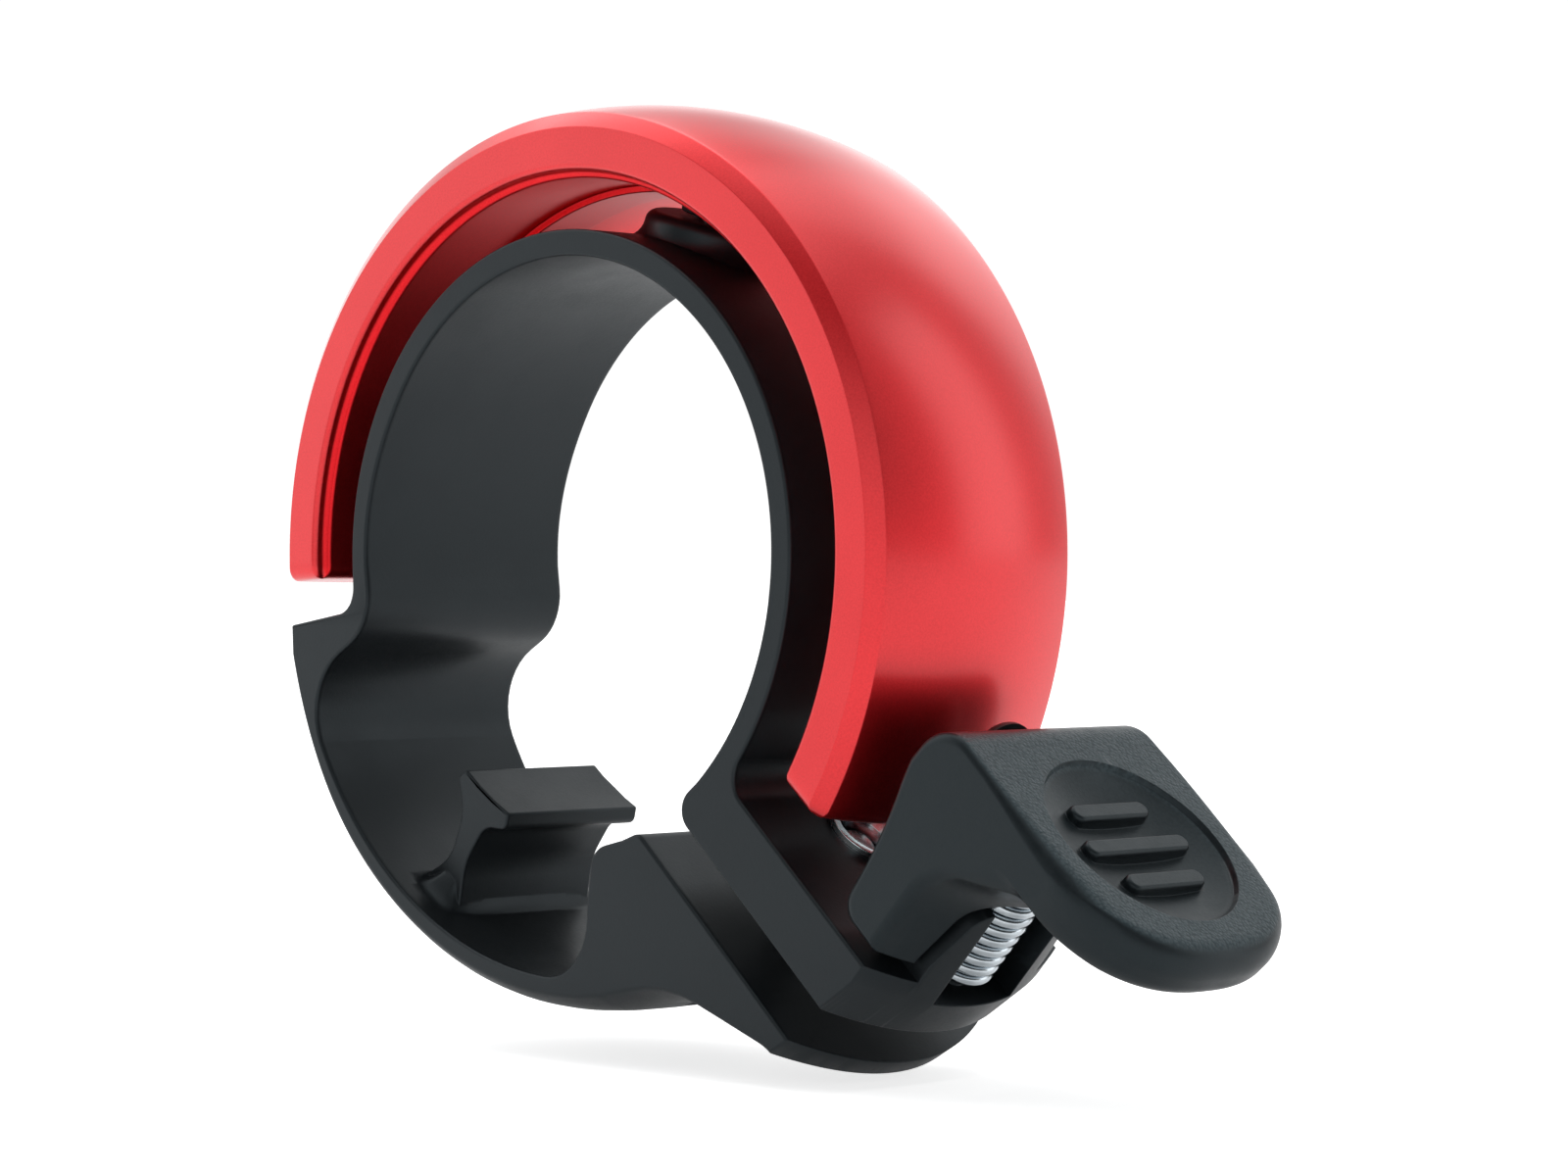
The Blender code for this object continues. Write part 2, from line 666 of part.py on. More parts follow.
def grip_ridge(offset, half_length):
    """A round-ended bar across the dish."""
    outline = []
    for k in range(14):
        side = 1 if k < 7 else -1
        angle = math.pi / 2 - math.pi * (k % 7) / 6 + (math.pi if k > 6 else 0.0)
        reach = DISH_REACH + offset + RIDGE_R * math.sin(angle)
        outline.append((reach, side * half_length + RIDGE_R * math.cos(angle)))
    rises = (LEVER_TOP_RISE - 1.6, LEVER_TOP_RISE - 0.3)
    return loft([[jaw_point(reach, rise, y) for reach, y in outline] for rise in rises])


def hammer_seat():
    """The stepped hole in the lever that takes the hammer tip."""
    profile = [
        (0, 24.0), (HAMMER_BORE_R, 24.0), (HAMMER_BORE_R, 27.65),
        (1.5, 27.65), (1.5, 29.6), (0, 29.6),
    ]
    return turned(profile, HAMMER_AXIS)


def build_pivot():
    """The empty that the lever and hammer tip turn with."""
    pivot = bpy.data.objects.new("striker_pivot", None)
    pivot.location = (PIVOT + HOME) * MM
    pivot.empty_display_size = 0.004
    bpy.context.scene.collection.objects.link(pivot)
    return pivot


def build_lever(material, pivot):
    lever = make_piece("striker_lever", lever_stock(), material, origin=PIVOT, parent=pivot)
    cut(lever, "arch_cutter", arch())
    pocket = cylinder(SPRING_POCKET_R, 4.0, SPRING_POCKET_RISE)
    cut(lever, "spring_pocket_cutter", turned(pocket, SPRING_AXIS, 28))
    add(lever, "lever_peg_stock", turned(LEVER_PEG, SPRING_AXIS, 16))
    cut(lever, "dish_cutter", dish())
    cut(lever, "hammer_seat_cutter", hammer_seat())
    for offset, half_length in RIDGES:
        add(lever, f"grip_ridge_stock_{offset:+.0f}", grip_ridge(offset, half_length))


def build_hammer_tip(material, pivot):
    """A domed button on a stem, facing the bell."""
    shoulder = HAMMER_TIP_R + 1.1
    profile = [(0, HAMMER_TIP_R)]
    for i in range(1, 6):
        angle = math.radians(18 * i)
        height = HAMMER_TIP_R + 0.95 * (1 - math.cos(angle))
        profile.append((HAMMER_DOME_R * math.sin(angle), height))
    profile += [(HAMMER_DOME_R, shoulder), (HAMMER_STEM_R, shoulder)]
    profile += [(HAMMER_STEM_R, 29.3), (0, 29.3)]
    origin = HAMMER_AXIS[1] * HAMMER_ORIGIN_R
    solid = turned(profile, HAMMER_AXIS)
    make_piece("striker_hammer_tip", solid, material, origin=origin, parent=pivot)


def build_spring(material):
    """A round-wire coil along the jaws' normal."""
    per_turn, sides = 16, 6
    steps = SPRING_TURNS * per_turn
    climb = SPRING_TOP_RISE - SPRING_BASE_RISE - 2 * SPRING_WIRE_R
    rings = []
    for i in range(steps + 1):
        share = i / steps
        angle = math.tau * SPRING_TURNS * share
        middle = SPRING_BASE_RISE + SPRING_WIRE_R + climb * share
        ring = []
        for k in range(sides):
            around = math.tau * k / sides
            radius = SPRING_MEAN_R + SPRING_WIRE_R * math.cos(around)
            rise = middle + SPRING_WIRE_R * math.sin(around)
            reach = SPRING_REACH + math.cos(angle) * radius
            ring.append(jaw_point(reach, rise, math.sin(angle) * radius))
        rings.append(ring)
    origin = jaw_point(SPRING_REACH, SPRING_BASE_RISE, 0)
    make_piece("striker_spring", loft(rings), material, origin=origin, sharp=60.0)


# ---------------------------------------------------------------- the whole bell
def build():
    for obj in list(bpy.data.objects):
        bpy.data.objects.remove(obj, do_unlink=True)
    bpy.context.scene.collection.children.link(bpy.data.collections.new("tools"))

    nylon = make_material("black_nylon", color=(0.012, 0.015, 0.018), roughness=0.48)
    grip = make_material("black_grip", color=(0.010, 0.012, 0.014), roughness=0.60)
    red = make_material("red_anodised", color=(0.62, 0.012, 0.016), roughness=0.30, metallic=1.0)
    steel = make_material("bright_steel", color=(0.62, 0.63, 0.65), roughness=0.22, metallic=1.0)
    zinc = make_material("zinc_spring", color=(0.70, 0.71, 0.72), roughness=0.28, metallic=1.0)
    rubber = make_material("black_rubber", color=(0.015, 0.015, 0.015), roughness=0.75)
    acetal = make_material("black_acetal", color=(0.014, 0.014, 0.015), roughness=0.35)

    build_bracket(nylon)
    build_bell(red)
    build_bell_mount(steel, rubber)
    build_clamp(steel)
    pivot = build_pivot()
    build_lever(grip, pivot)
    build_hammer_tip(acetal, pivot)
    build_spring(zinc)


build()
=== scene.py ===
"""Looks for a ring-type bicycle bell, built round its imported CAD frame.

The handlebar runs along y. Pieces are modelled in millimetres from its axis, HOME, and angles
turn from +x towards +z. The clamp jaws reach out to +x, tilted down: "along" runs out along
them and "up" square to them, parallel to the clamp screw. Both are zero on the handlebar's axis.
"""

import json
import math
import bmesh
import bpy
from mathutils import Matrix, Vector


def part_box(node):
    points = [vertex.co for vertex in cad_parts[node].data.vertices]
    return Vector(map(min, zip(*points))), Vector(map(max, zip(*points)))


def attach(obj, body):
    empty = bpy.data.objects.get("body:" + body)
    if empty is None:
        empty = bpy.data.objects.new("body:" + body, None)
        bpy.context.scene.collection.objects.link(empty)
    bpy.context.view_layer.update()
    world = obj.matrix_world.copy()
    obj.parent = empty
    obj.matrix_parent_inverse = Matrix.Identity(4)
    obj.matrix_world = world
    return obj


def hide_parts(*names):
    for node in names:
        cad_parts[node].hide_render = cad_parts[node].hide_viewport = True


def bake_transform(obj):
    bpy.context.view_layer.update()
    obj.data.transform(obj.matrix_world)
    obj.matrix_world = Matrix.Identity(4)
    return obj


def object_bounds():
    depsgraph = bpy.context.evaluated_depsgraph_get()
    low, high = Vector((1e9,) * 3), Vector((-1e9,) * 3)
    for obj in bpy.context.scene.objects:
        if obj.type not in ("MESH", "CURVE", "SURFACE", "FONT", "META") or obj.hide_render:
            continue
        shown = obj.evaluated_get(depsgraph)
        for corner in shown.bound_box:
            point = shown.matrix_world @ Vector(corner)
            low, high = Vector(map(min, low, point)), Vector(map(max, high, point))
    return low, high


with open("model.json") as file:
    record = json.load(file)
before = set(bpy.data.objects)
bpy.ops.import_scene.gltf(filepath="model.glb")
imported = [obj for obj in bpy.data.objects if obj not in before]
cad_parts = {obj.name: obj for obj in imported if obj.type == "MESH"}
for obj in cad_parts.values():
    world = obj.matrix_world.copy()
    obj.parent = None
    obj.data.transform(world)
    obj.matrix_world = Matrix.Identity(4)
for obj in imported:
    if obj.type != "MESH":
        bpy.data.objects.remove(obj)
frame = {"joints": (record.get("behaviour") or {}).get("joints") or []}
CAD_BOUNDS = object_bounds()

MM = 0.001
FINE = 2  # scales the step counts
joints = {joint["name"]: joint for joint in frame["joints"]}

# ---------------------------------------------------------------- places, read from the frame
clamp_axis = Vector(joints["clamp_screw_turn"]["axis"]).normalized()
JAW_COS, JAW_SIN = clamp_axis.z, clamp_axis.x
JAW_TILT = math.degrees(math.atan2(JAW_SIN, JAW_COS))
JAW_UP = Vector((JAW_SIN, 0, JAW_COS))
SPRING_ALONG, PIVOT_UP = 30.4, 1.0
PRESS = Vector(joints["lever_press"]["pos_m"]) / MM


def jaw(along, up):
    """Jaw coordinates as (x, z)."""
    return JAW_COS * along + JAW_SIN * up, -JAW_SIN * along + JAW_COS * up


def jaw3(along, up, y=0.0):
    x, z = jaw(along, up)
    return Vector((x, y, z))


def jaw_along(x, z):
    return JAW_COS * x - JAW_SIN * z


def polar(angle, radius):
    turn = math.radians(angle)
    return radius * math.cos(turn), radius * math.sin(turn)


def radial(angle):
    """The unit vector out from the handlebar's axis at an angle."""
    x, z = polar(angle, 1.0)
    return Vector((x, 0, z))


HOME = PRESS - jaw3(SPRING_ALONG, PIVOT_UP)  # the handlebar's axis
BAND_HALF_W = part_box("mounting_bracket")[1].y / MM
LEVER_HALF_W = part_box("striker_lever")[1].y / MM
BELL_HALF_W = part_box("bell_shell")[1].y / MM
BELL_CROWN_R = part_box("bell_shell")[1].z / MM - HOME.z

# ---------------------------------------------------------------- sizes, mm and degrees
CENTRE = (0, 0, 0)

# Bracket: the band round the bar, the lower band outside it, and the two jaws
BORE_R, BAND_R = 16.0, 17.43
FAR_EASE = 0.28  # the band stands off the bar by this on its -x side
LOWER_OUT_R, LOWER_CROWN, LOWER_IN_R, LIP_THIN = 23.88, 1.0, 22.95, 0.28
BRACKET_EDGE, SADDLE_EDGE = 0.16, 0.15
JAW_TOP_UP, JAW_LOW_UP = -0.30, -4.12
LOW_JAW_TOP_UP, LOW_JAW_END_UP = -6.85, -8.15
JAW_END, LOW_JAW_END, JAW_END_CURVE = 33.0, 31.8, 0.043
JAW_STOCK_END = 36.0  # the jaws run this far before their ends are cut
LOW_JAW_START, LOW_JAW_BLEND = 28.6, 9.0  # the crown dies away over BLEND, up to START
BOSS_ANGLE, BOSS_TOP_R, BOSS_R = 74.4, 18.7, 4.1
BOSS_AXIS = radial(BOSS_ANGLE)
SADDLE_HALF_W = 4.95
TOWER_IN, TOWER_OUT, TOWER_BACK, TOWER_TOP_UP = 2.93, 4.5, 29.1, 4.75
TOWER_STOCK_IN = 2.6
WINDOW_BACK, WINDOW_FLOOR_UP = 27.9, -1.53
CLAMP_AT = jaw3(21.6, 0)

# Bell
BELL_IN_R, BELL_FACE_R, BELL_EDGE_R, BELL_EDGE_Y = 20.59, 22.89, 23.72, 6.95
BELL_SHOULDER_Y, BELL_SEAT_R, BELL_RIB_R, BELL_RIB_HALF_W = 6.9, 20.2, 19.8, 1.6
BELL_START, BELL_END, BELL_TIP = -34.8, 183.8, 0.75
BELL_TIP_AT_R = 22.5  # where the tip's length is turned into an angle
BELL_LEAN, BELL_LEAN_SPAN = 0.125, 14.0  # the start is cut past square (rad), over this span
BELL_RISE = BELL_CROWN_R - BELL_EDGE_R
BELL_CURVE_R = (BELL_EDGE_Y**2 + BELL_RISE**2) / (2 * BELL_RISE)

# Lever, with its thumb paddle and dish
LEVER_BACK_R, LEVER_TOP_UP, LEVER_UNDER_UP, LEVER_FOOT_UP = 27.3, 12.5, 9.4, 0.45
LEVER_EDGE = 0.40
PADDLE_STRAIGHT, PADDLE_END = 37.3, 43.4
ARCH_HALF_W, ARCH_TOP_UP, ARCH_BACK = 4.9, 6.0, 27.95
DISH_ALONG, DISH_R, DISH_DEPTH, DISH_STEP, DISH_POWER = 35.1, 5.6, 1.10, 0.30, 2.6

# Striker spring and hammer
SPRING_AT = jaw3(SPRING_ALONG, 0)
SPRING_MEAN_R, SPRING_WIRE_R, SPRING_LOW, SPRING_HIGH = 1.80, 0.310, -1.20, 6.35
SPRING_TURNS, SPRING_START_TURN = 10.0, 2.36
HAMMER_AXIS = radial(-23.4)
HAMMER_TIP_R, HAMMER_DOME_R, HAMMER_DOME_RISE, HAMMER_STEM_R = 26.3, 2.3, 0.95, 1.2


# ---------------------------------------------------------------- outline tools
def smooth(share):
    share = min(1.0, max(0.0, share))
    return share * share * (3 - 2 * share)


def corner(point, radius=0.0, steps=None):
    """A path corner: its place, its fillet radius and the fillet's step count."""
    return point[0], point[1], radius, steps


def arc(radius, start, end, ease=None, first_fillet=0.0):
    count = max(2, round(abs(end - start) / (2.6 / FINE)))
    points = []
    for i in range(count + 1):
        angle = start + (end - start) * i / count
        points.append(corner(polar(angle, radius + (ease(angle) if ease else 0.0))))
    points[0] = points[0][:2] + (first_fillet, None)
    return points


def fillet(path, degrees_per_step=9.0):
    """A closed path of corners as a plain polygon with tangent rounded corners."""
    points = [Vector(entry[:2]) for entry in path]
    count = len(points)
    start = [0.0]
    for i in range(count):
        start.append(start[-1] + (points[(i + 1) % count] - points[i]).length)
    total = start[-1]

    def at(length):
        """The place and direction at a length along the path."""
        length %= total
        for i in range(count):
            if start[i] <= length <= start[i + 1] and start[i + 1] > start[i]:
                side = points[(i + 1) % count] - points[i]
                place = points[i] + side * (length - start[i]) / (start[i + 1] - start[i])
                return place, side.normalized()
        return points[0], (points[1] - points[0]).normalized()

    spans = {}
    for i, (_, _, radius, steps) in enumerate(path):
        if not radius:
            continue
        turn = (points[i] - points[i - 1]).angle(points[(i + 1) % count] - points[i])
        reach = radius * math.tan(turn / 2)
        enter, enter_way = at(start[i] - reach)
        leave, leave_way = at(start[i] + reach)
        handle = 4 / 3 * math.tan(turn / 4) * radius
        step_angle = math.radians(degrees_per_step / (FINE / 2))
        steps = steps or max(3, math.ceil(turn / step_angle))
        rounded = []
        for k in range(steps + 1):
            done = k / steps
            left = 1 - done
            rounded.append(
                enter * left**3
                + (enter + enter_way * handle) * 3 * left * left * done
                + (leave - leave_way * handle) * 3 * left * done * done
                + leave * done**3
            )
        spans[i] = (start[i] - reach, start[i] + reach, rounded)

    def swallowed(length):
        return any(
            low < length + shift < high
            for low, high, _ in spans.values()
            for shift in (-total, 0.0, total)
        )

    outline = []
    for i in range(count):
        if i in spans:
            outline += spans[i][2]
        elif not swallowed(start[i]):
            outline.append(points[i])
    clean = []
    for point in outline:
        if not clean or (point - clean[-1]).length > 1e-4:
            clean.append(point)
    if (clean[0] - clean[-1]).length < 1e-4:
        clean.pop()
    return clean


def inset(outline, distance):
    """The outline moved inwards point by point, along its corner bisectors."""
    following = outline[1:] + outline[:1]
    area = sum(a.x * b.y - b.x * a.y for a, b in zip(outline, following))
    turn = 1.0 if area > 0 else -1.0
    moved = []
    for i, point in enumerate(outline):
        before = (point - outline[i - 1]).normalized()
        after = (following[i] - point).normalized()
        normal_before = Vector((-before.y, before.x)) * turn
        normal_after = Vector((-after.y, after.x)) * turn
        bisector = normal_before + normal_after
        bisector = bisector.normalized() if bisector.length > 1e-6 else normal_before
        moved.append(point + bisector * distance / max(0.5, bisector.dot(normal_before)))
    return moved


def rounded_profile(points):
    """(radius, height, fillet) points that start and end on the axis, with corners rounded."""
    beyond_axis = [(-1.0, points[-1][1], 0.0), (-1.0, points[0][1], 0.0)]
    return [(r, h) for r, h in closed_profile(points + beyond_axis) if r >= -1e-6]


def closed_profile(points):
    made = fillet([corner((r, h), f) for r, h, f in points], degrees_per_step=14.0)
    return [(point.x, point.y) for point in made]


def round_in(edge, radius):
    """How far a rounded edge stands back at a distance edge from the side."""
    if edge >= radius:
        return 0.0
    return radius - math.sqrt(max(0.0, radius * radius - (radius - edge) ** 2))


# ---------------------------------------------------------------- mesh tools
def loft(rings):
    shape = bmesh.new()
    verts = [[shape.verts.new(point) for point in ring] for ring in rings]
    count = len(rings[0])
    for low, high in zip(verts, verts[1:]):
        for i in range(count):
            j = (i + 1) % count
            shape.faces.new((low[i], low[j], high[j], high[i]))
    shape.faces.new(list(reversed(verts[0])))
    shape.faces.new(verts[-1])
    return shape


def side_stations(half, edge, between=()):
    """(y, inset) across a piece with rounded side edges; between holds shares of half."""
    near = []
    for k in range(4):
        turn = math.pi / 2 * k / 3
        near.append((-(half - edge + edge * math.cos(turn)), edge * (1 - math.sin(turn))))
    near += [(-half * share, 0.0) for share in between]
    return near + [(-y, distance) for y, distance in reversed(near)]


def plate(outline_at, stations):
    """An (x, z) outline, given for each y, drawn across the stations."""
    return loft([
        [Vector((point.x, y, point.y)) for point in inset(outline_at(y), distance)]
        for y, distance in stations
    ])


def jaw_bar(outline, start, end):
    """A (y, up) outline run along the jaws."""
    return loft([[jaw3(along, up, y) for y, up in outline] for along in (start, end)])


def stand(shape, origin, axis):
    """Puts a shape made round +z onto an origin and axis."""
    turn = Vector((0, 0, 1)).rotation_difference(Vector(axis)).to_matrix().to_4x4()
    place = Matrix.Translation(Vector(origin)) @ turn
    bmesh.ops.transform(shape, matrix=place, verts=shape.verts)
    return shape


def turned(profile, origin, axis, steps, closed=False):
    """A (radius, height) profile spun round an axis."""
    steps = steps * FINE // 2
    shape = bmesh.new()
    rings = []
    for k in range(steps):
        turn = math.tau * k / steps
        rings.append([
            shape.verts.new((radius * math.cos(turn), radius * math.sin(turn), height))
            for radius, height in profile
        ])
    last = len(profile) if closed else len(profile) - 1
    for k in range(steps):
        low, high = rings[k], rings[(k + 1) % steps]
        for i in range(last):
            j = (i + 1) % len(profile)
            shape.faces.new((low[i], high[i], high[j], low[j]))
    bmesh.ops.remove_doubles(shape, verts=shape.verts, dist=1e-6)
    bmesh.ops.dissolve_degenerate(shape, edges=shape.edges, dist=1e-6)
    return stand(shape, origin, axis)


def hexagon(across, low, high, origin, axis):
    radius = across / math.sqrt(3)
    corners = []
    for k in range(6):
        turn = k * math.pi / 3
        corners.append(corner((radius * math.cos(turn), radius * math.sin(turn)), 0.12))
    path = fillet(corners)
    rings = [[Vector((point.x, point.y, height)) for point in path] for height in (low, high)]
    return stand(loft(rings), origin, axis)


def as_object(name, shape):
    """A mesh object in metres in the frame, from a shape in millimetres from HOME."""
    bmesh.ops.recalc_face_normals(shape, faces=shape.faces)
    place = Matrix.Diagonal((MM, MM, MM, 1.0)) @ Matrix.Translation(HOME)
    bmesh.ops.transform(shape, matrix=place, verts=shape.verts)
    mesh = bpy.data.meshes.new(name)
    shape.to_mesh(mesh)
    shape.free()
    obj = bpy.data.objects.new(name, mesh)
    bpy.context.scene.collection.objects.link(obj)
    return obj


def boolean(obj, shape, operation):
    tool = as_object("tool", shape)
    modifier = obj.modifiers.new("tool", "BOOLEAN")
    modifier.object = tool
    modifier.operation = operation
    modifier.solver = "EXACT"
    bake_modifiers(obj)
    bpy.data.objects.remove(tool, do_unlink=True)


def join(obj, shape):
    boolean(obj, shape, "UNION")


def cut(obj, shape):
    boolean(obj, shape, "DIFFERENCE")


def bake_modifiers(obj):
    bpy.context.view_layer.update()
    graph = bpy.context.evaluated_depsgraph_get()
    made = bpy.data.meshes.new_from_object(obj.evaluated_get(graph))
    old = obj.data
    obj.modifiers.clear()
    obj.data = made
    bpy.data.meshes.remove(old)
    made.name = obj.name


def soften(obj, width=0.0, angle=38.0, sharp=40.0):
    """Bevels edges steeper than angle, if given a width, then shades the piece smooth."""
    if width:
        bevel = obj.modifiers.new("edges", "BEVEL")
        bevel.width = width * MM
        bevel.segments = 2
        bevel.limit_method = "ANGLE"
        bevel.angle_limit = math.radians(angle)
        bevel.use_clamp_overlap = True
        bevel.miter_outer = "MITER_ARC"
        bake_modifiers(obj)
    obj.data.shade_smooth()
    obj.data.set_sharp_from_angle(angle=math.radians(sharp))
    normal = obj.modifiers.new("normals", "WEIGHTED_NORMAL")
    normal.mode = "FACE_AREA"
    normal.weight = 60
    normal.keep_sharp = True


def paint(obj, name, value_at):
    """Stores value_at(place in mm, normal) as a point attribute for the material."""
    attribute = obj.data.attributes.new(name, "FLOAT", "POINT")
    values = [value_at(vert.co / MM - HOME, vert.normal) for vert in obj.data.vertices]
    attribute.data.foreach_set("value", values)


def dress(obj, material, body, slot, node):
    obj.data.materials.clear()
    obj.data.materials.append(material)
    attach(obj, body)
    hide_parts(node)


# ---------------------------------------------------------------- shader tools
TONES = (0.35, 0.65)  # the range that fine noise mostly fills
WIDE_TONES = (0.3, 0.7)


class Graph:
    """Strings shader nodes together."""

    def __init__(self, tree):
        self.tree = tree

    def add(self, kind, **settings):
        node = self.tree.nodes.new(kind)
        for key, value in settings.items():
            setattr(node, key, value)
        return node

    def link(self, source, target):
        self.tree.links.new(source, target)

    def put(self, socket, value):
        if isinstance(value, (int, float, tuple)):
            socket.default_value = value
        else:
            self.link(value, socket)

    def remap(self, value, span, to=(0.0, 1.0), **settings):
        node = self.add("ShaderNodeMapRange", **settings)
        self.put(node.inputs["Value"], value)
        for key, limit in zip(("From Min", "From Max", "To Min", "To Max"), (*span, *to)):
            node.inputs[key].default_value = limit
        return node.outputs["Result"]

    def math(self, operation, first, second):
        node = self.add("ShaderNodeMath", operation=operation)
        self.put(node.inputs[0], first)
        self.put(node.inputs[1], second)
        return node.outputs["Value"]

    def weighted(self, first, second):
        """The sum of two (value, weight) pairs."""
        return self.math("ADD", self.math("MULTIPLY", *first), self.math("MULTIPLY", *second))


class Surface(Graph):
    """A material, with textures measured in object millimetres."""

    def __init__(self, name):
        self.material = bpy.data.materials.new(name)
        self.material.use_nodes = True
        super().__init__(self.material.node_tree)
        self.shader = self.tree.nodes["Principled BSDF"]
        self.coords = self.add("ShaderNodeTexCoord").outputs["Object"]

    def texture(self, kind, size_mm, offset=(0, 0, 0), **settings):
        mapping = self.add("ShaderNodeMapping")
        self.link(self.coords, mapping.inputs["Vector"])
        mapping.inputs["Location"].default_value = offset
        mapping.inputs["Scale"].default_value = (1.0 / (size_mm * MM),) * 3
        node = self.add(kind, **settings)
        node.inputs["Scale"].default_value = 1.0
        self.link(mapping.outputs["Vector"], node.inputs["Vector"])
        return node

    def noise(self, size_mm, detail=2.0, rough=0.5, offset=(0, 0, 0)):
        node = self.texture("ShaderNodeTexNoise", size_mm, offset)
        node.inputs["Detail"].default_value = detail
        node.inputs["Roughness"].default_value = rough
        return node.outputs["Fac"]

    def cells(self, size_mm, smoothness, randomness):
        node = self.texture("ShaderNodeTexVoronoi", size_mm, feature="SMOOTH_F1")
        node.inputs["Randomness"].default_value = randomness
        node.inputs["Smoothness"].default_value = smoothness
        return node.outputs["Distance"]

    def mix(self, factor, low, high):
        node = self.add("ShaderNodeMix", data_type="RGBA")
        self.put(node.inputs["Factor"], factor)
        for key, value in (("A", low), ("B", high)):
            socket = next(s for s in node.inputs if s.name == key and s.type == "RGBA")
            self.put(socket, (*value, 1.0) if isinstance(value, tuple) else value)
        return next(s for s in node.outputs if s.type == "RGBA")

    def attribute(self, name):
        return self.add("ShaderNodeAttribute", attribute_name=name).outputs["Fac"]

    def bump(self, height, strength, depth_mm, normal=None):
        node = self.add("ShaderNodeBump")
        self.put(node.inputs["Strength"], strength)
        node.inputs["Distance"].default_value = depth_mm * MM
        self.link(height, node.inputs["Height"])
        if normal is not None:
            self.link(normal, node.inputs["Normal"])
        return node.outputs["Normal"]

    def edges(self, radius_mm):
        """Normals that look rounded at the edges."""
        node = self.add("ShaderNodeBevel", samples=6)
        node.inputs["Radius"].default_value = radius_mm * MM
        return node.outputs["Normal"]

    def done(self, color, rough, normal=None, metallic=0.0, **extra):
        self.put(self.shader.inputs["Base Color"], color)
        self.put(self.shader.inputs["Roughness"], rough)
        self.shader.inputs["Metallic"].default_value = metallic
        if normal is not None:
            self.link(normal, self.shader.inputs["Normal"])
        for key, value in extra.items():
            self.put(self.shader.inputs[key.replace("_", " ")], value)
        return self.material


# ---------------------------------------------------------------- materials
def black_nylon():
    """Glass-filled moulding: blue-black and satin, with a fine eroded grain."""
    m = Surface("black_nylon")
    grain = m.noise(size_mm=0.16, detail=3.0, rough=0.62)
    cloud = m.noise(size_mm=3.4, detail=3.0, rough=0.55)
    specks = m.noise(size_mm=0.42, rough=0.6, offset=(3, 1, 2))
    height = m.weighted((grain, 0.8), (specks, 0.35))
    tone = m.weighted((cloud, 0.55), (grain, 0.45))
    color = m.mix(
        m.remap(tone, TONES), low=(0.0048, 0.0060, 0.0072), high=(0.0072, 0.0088, 0.0102)
    )
    rough = m.remap(tone, TONES, to=(0.33, 0.44))
    normal = m.bump(height, strength=0.30, depth_mm=0.02, normal=m.edges(radius_mm=0.13))
    return m.done(color, rough, normal, IOR=1.46, Specular_Tint=(0.80, 0.93, 1.0, 1.0))


def grip_plastic():
    """The lever: pebbled on the thumb face, where "grain" is 1, and finer on its cheeks. The thumb face
    is also painted lighter, a painted highlight on its up-facing top.
    """
    m = Surface("black_grip")
    face = m.attribute("grain")
    warp = m.noise(size_mm=0.9)
    pebble = m.cells(size_mm=0.18, smoothness=0.5, randomness=0.9)
    pebble = m.math("POWER", m.remap(pebble, span=(0.0, 0.75)), 1.6)
    pebble = m.math("SUBTRACT", 1.0, pebble)
    creases = m.noise(size_mm=0.15, detail=3.0, rough=0.6, offset=(5, 2, 1))
    coarse = m.weighted((pebble, 0.65), (creases, 0.75))
    fine = m.math("MULTIPLY", m.noise(size_mm=0.11, detail=3.0, rough=0.6), 0.45)
    height = m.weighted((coarse, face), (fine, m.math("SUBTRACT", 1.0, face)))
    tone = m.weighted((warp, 0.5), (creases, 0.5))
    cheeks = m.mix(
        m.remap(tone, TONES), low=(0.0050, 0.0066, 0.0078), high=(0.0078, 0.0098, 0.0112)
    )
    # Painted highlight: a lighter colour on the thumb face's up-facing top, lighter still on the raised
    # pebbles.
    painted_top_highlight = m.mix(
        m.remap(coarse, span=(0.3, 1.1)), low=(0.022, 0.034, 0.039), high=(0.060, 0.080, 0.088)
    )
    color = m.mix(face, low=cheeks, high=painted_top_highlight)
    rough = m.math("ADD", m.remap(tone, TONES, to=(0.30, 0.40)), m.math("MULTIPLY", face, 0.10))
    strength = m.remap(face, span=(0.0, 1.0), to=(0.30, 1.0))
    normal = m.bump(height, strength, depth_mm=0.027, normal=m.edges(radius_mm=0.10))
    return m.done(color, rough, normal, IOR=1.43, Specular_Tint=(0.74, 0.92, 1.0, 1.0))


def red_anodised():
    """Bead-blasted, red anodised aluminium under a clear skin, thin where "hollow" is 1."""
    m = Surface("red_anodised")
    blast = m.noise(size_mm=0.11, rough=0.6)
    patch = m.noise(size_mm=0.30, offset=(1, 4, 2))
    cloud = m.noise(size_mm=6.0)
    height = m.weighted((blast, 0.75), (patch, 0.35))
    tone = m.weighted((cloud, 0.35), (blast, 0.65))
    color = m.mix(m.remap(tone, TONES), low=(0.84, 0.014, 0.020), high=(0.97, 0.024, 0.032))
    rough = m.remap(tone, TONES, to=(0.38, 0.44))
    normal = m.bump(height, strength=0.34, depth_mm=0.012, normal=m.edges(radius_mm=0.05))
    return m.done(
        color, rough, normal, metallic=1.0, Coat_Roughness=0.20, Coat_IOR=1.52,
        Coat_Weight=m.remap(m.attribute("hollow"), span=(0.0, 1.0), to=(1.0, 0.12)),
    )


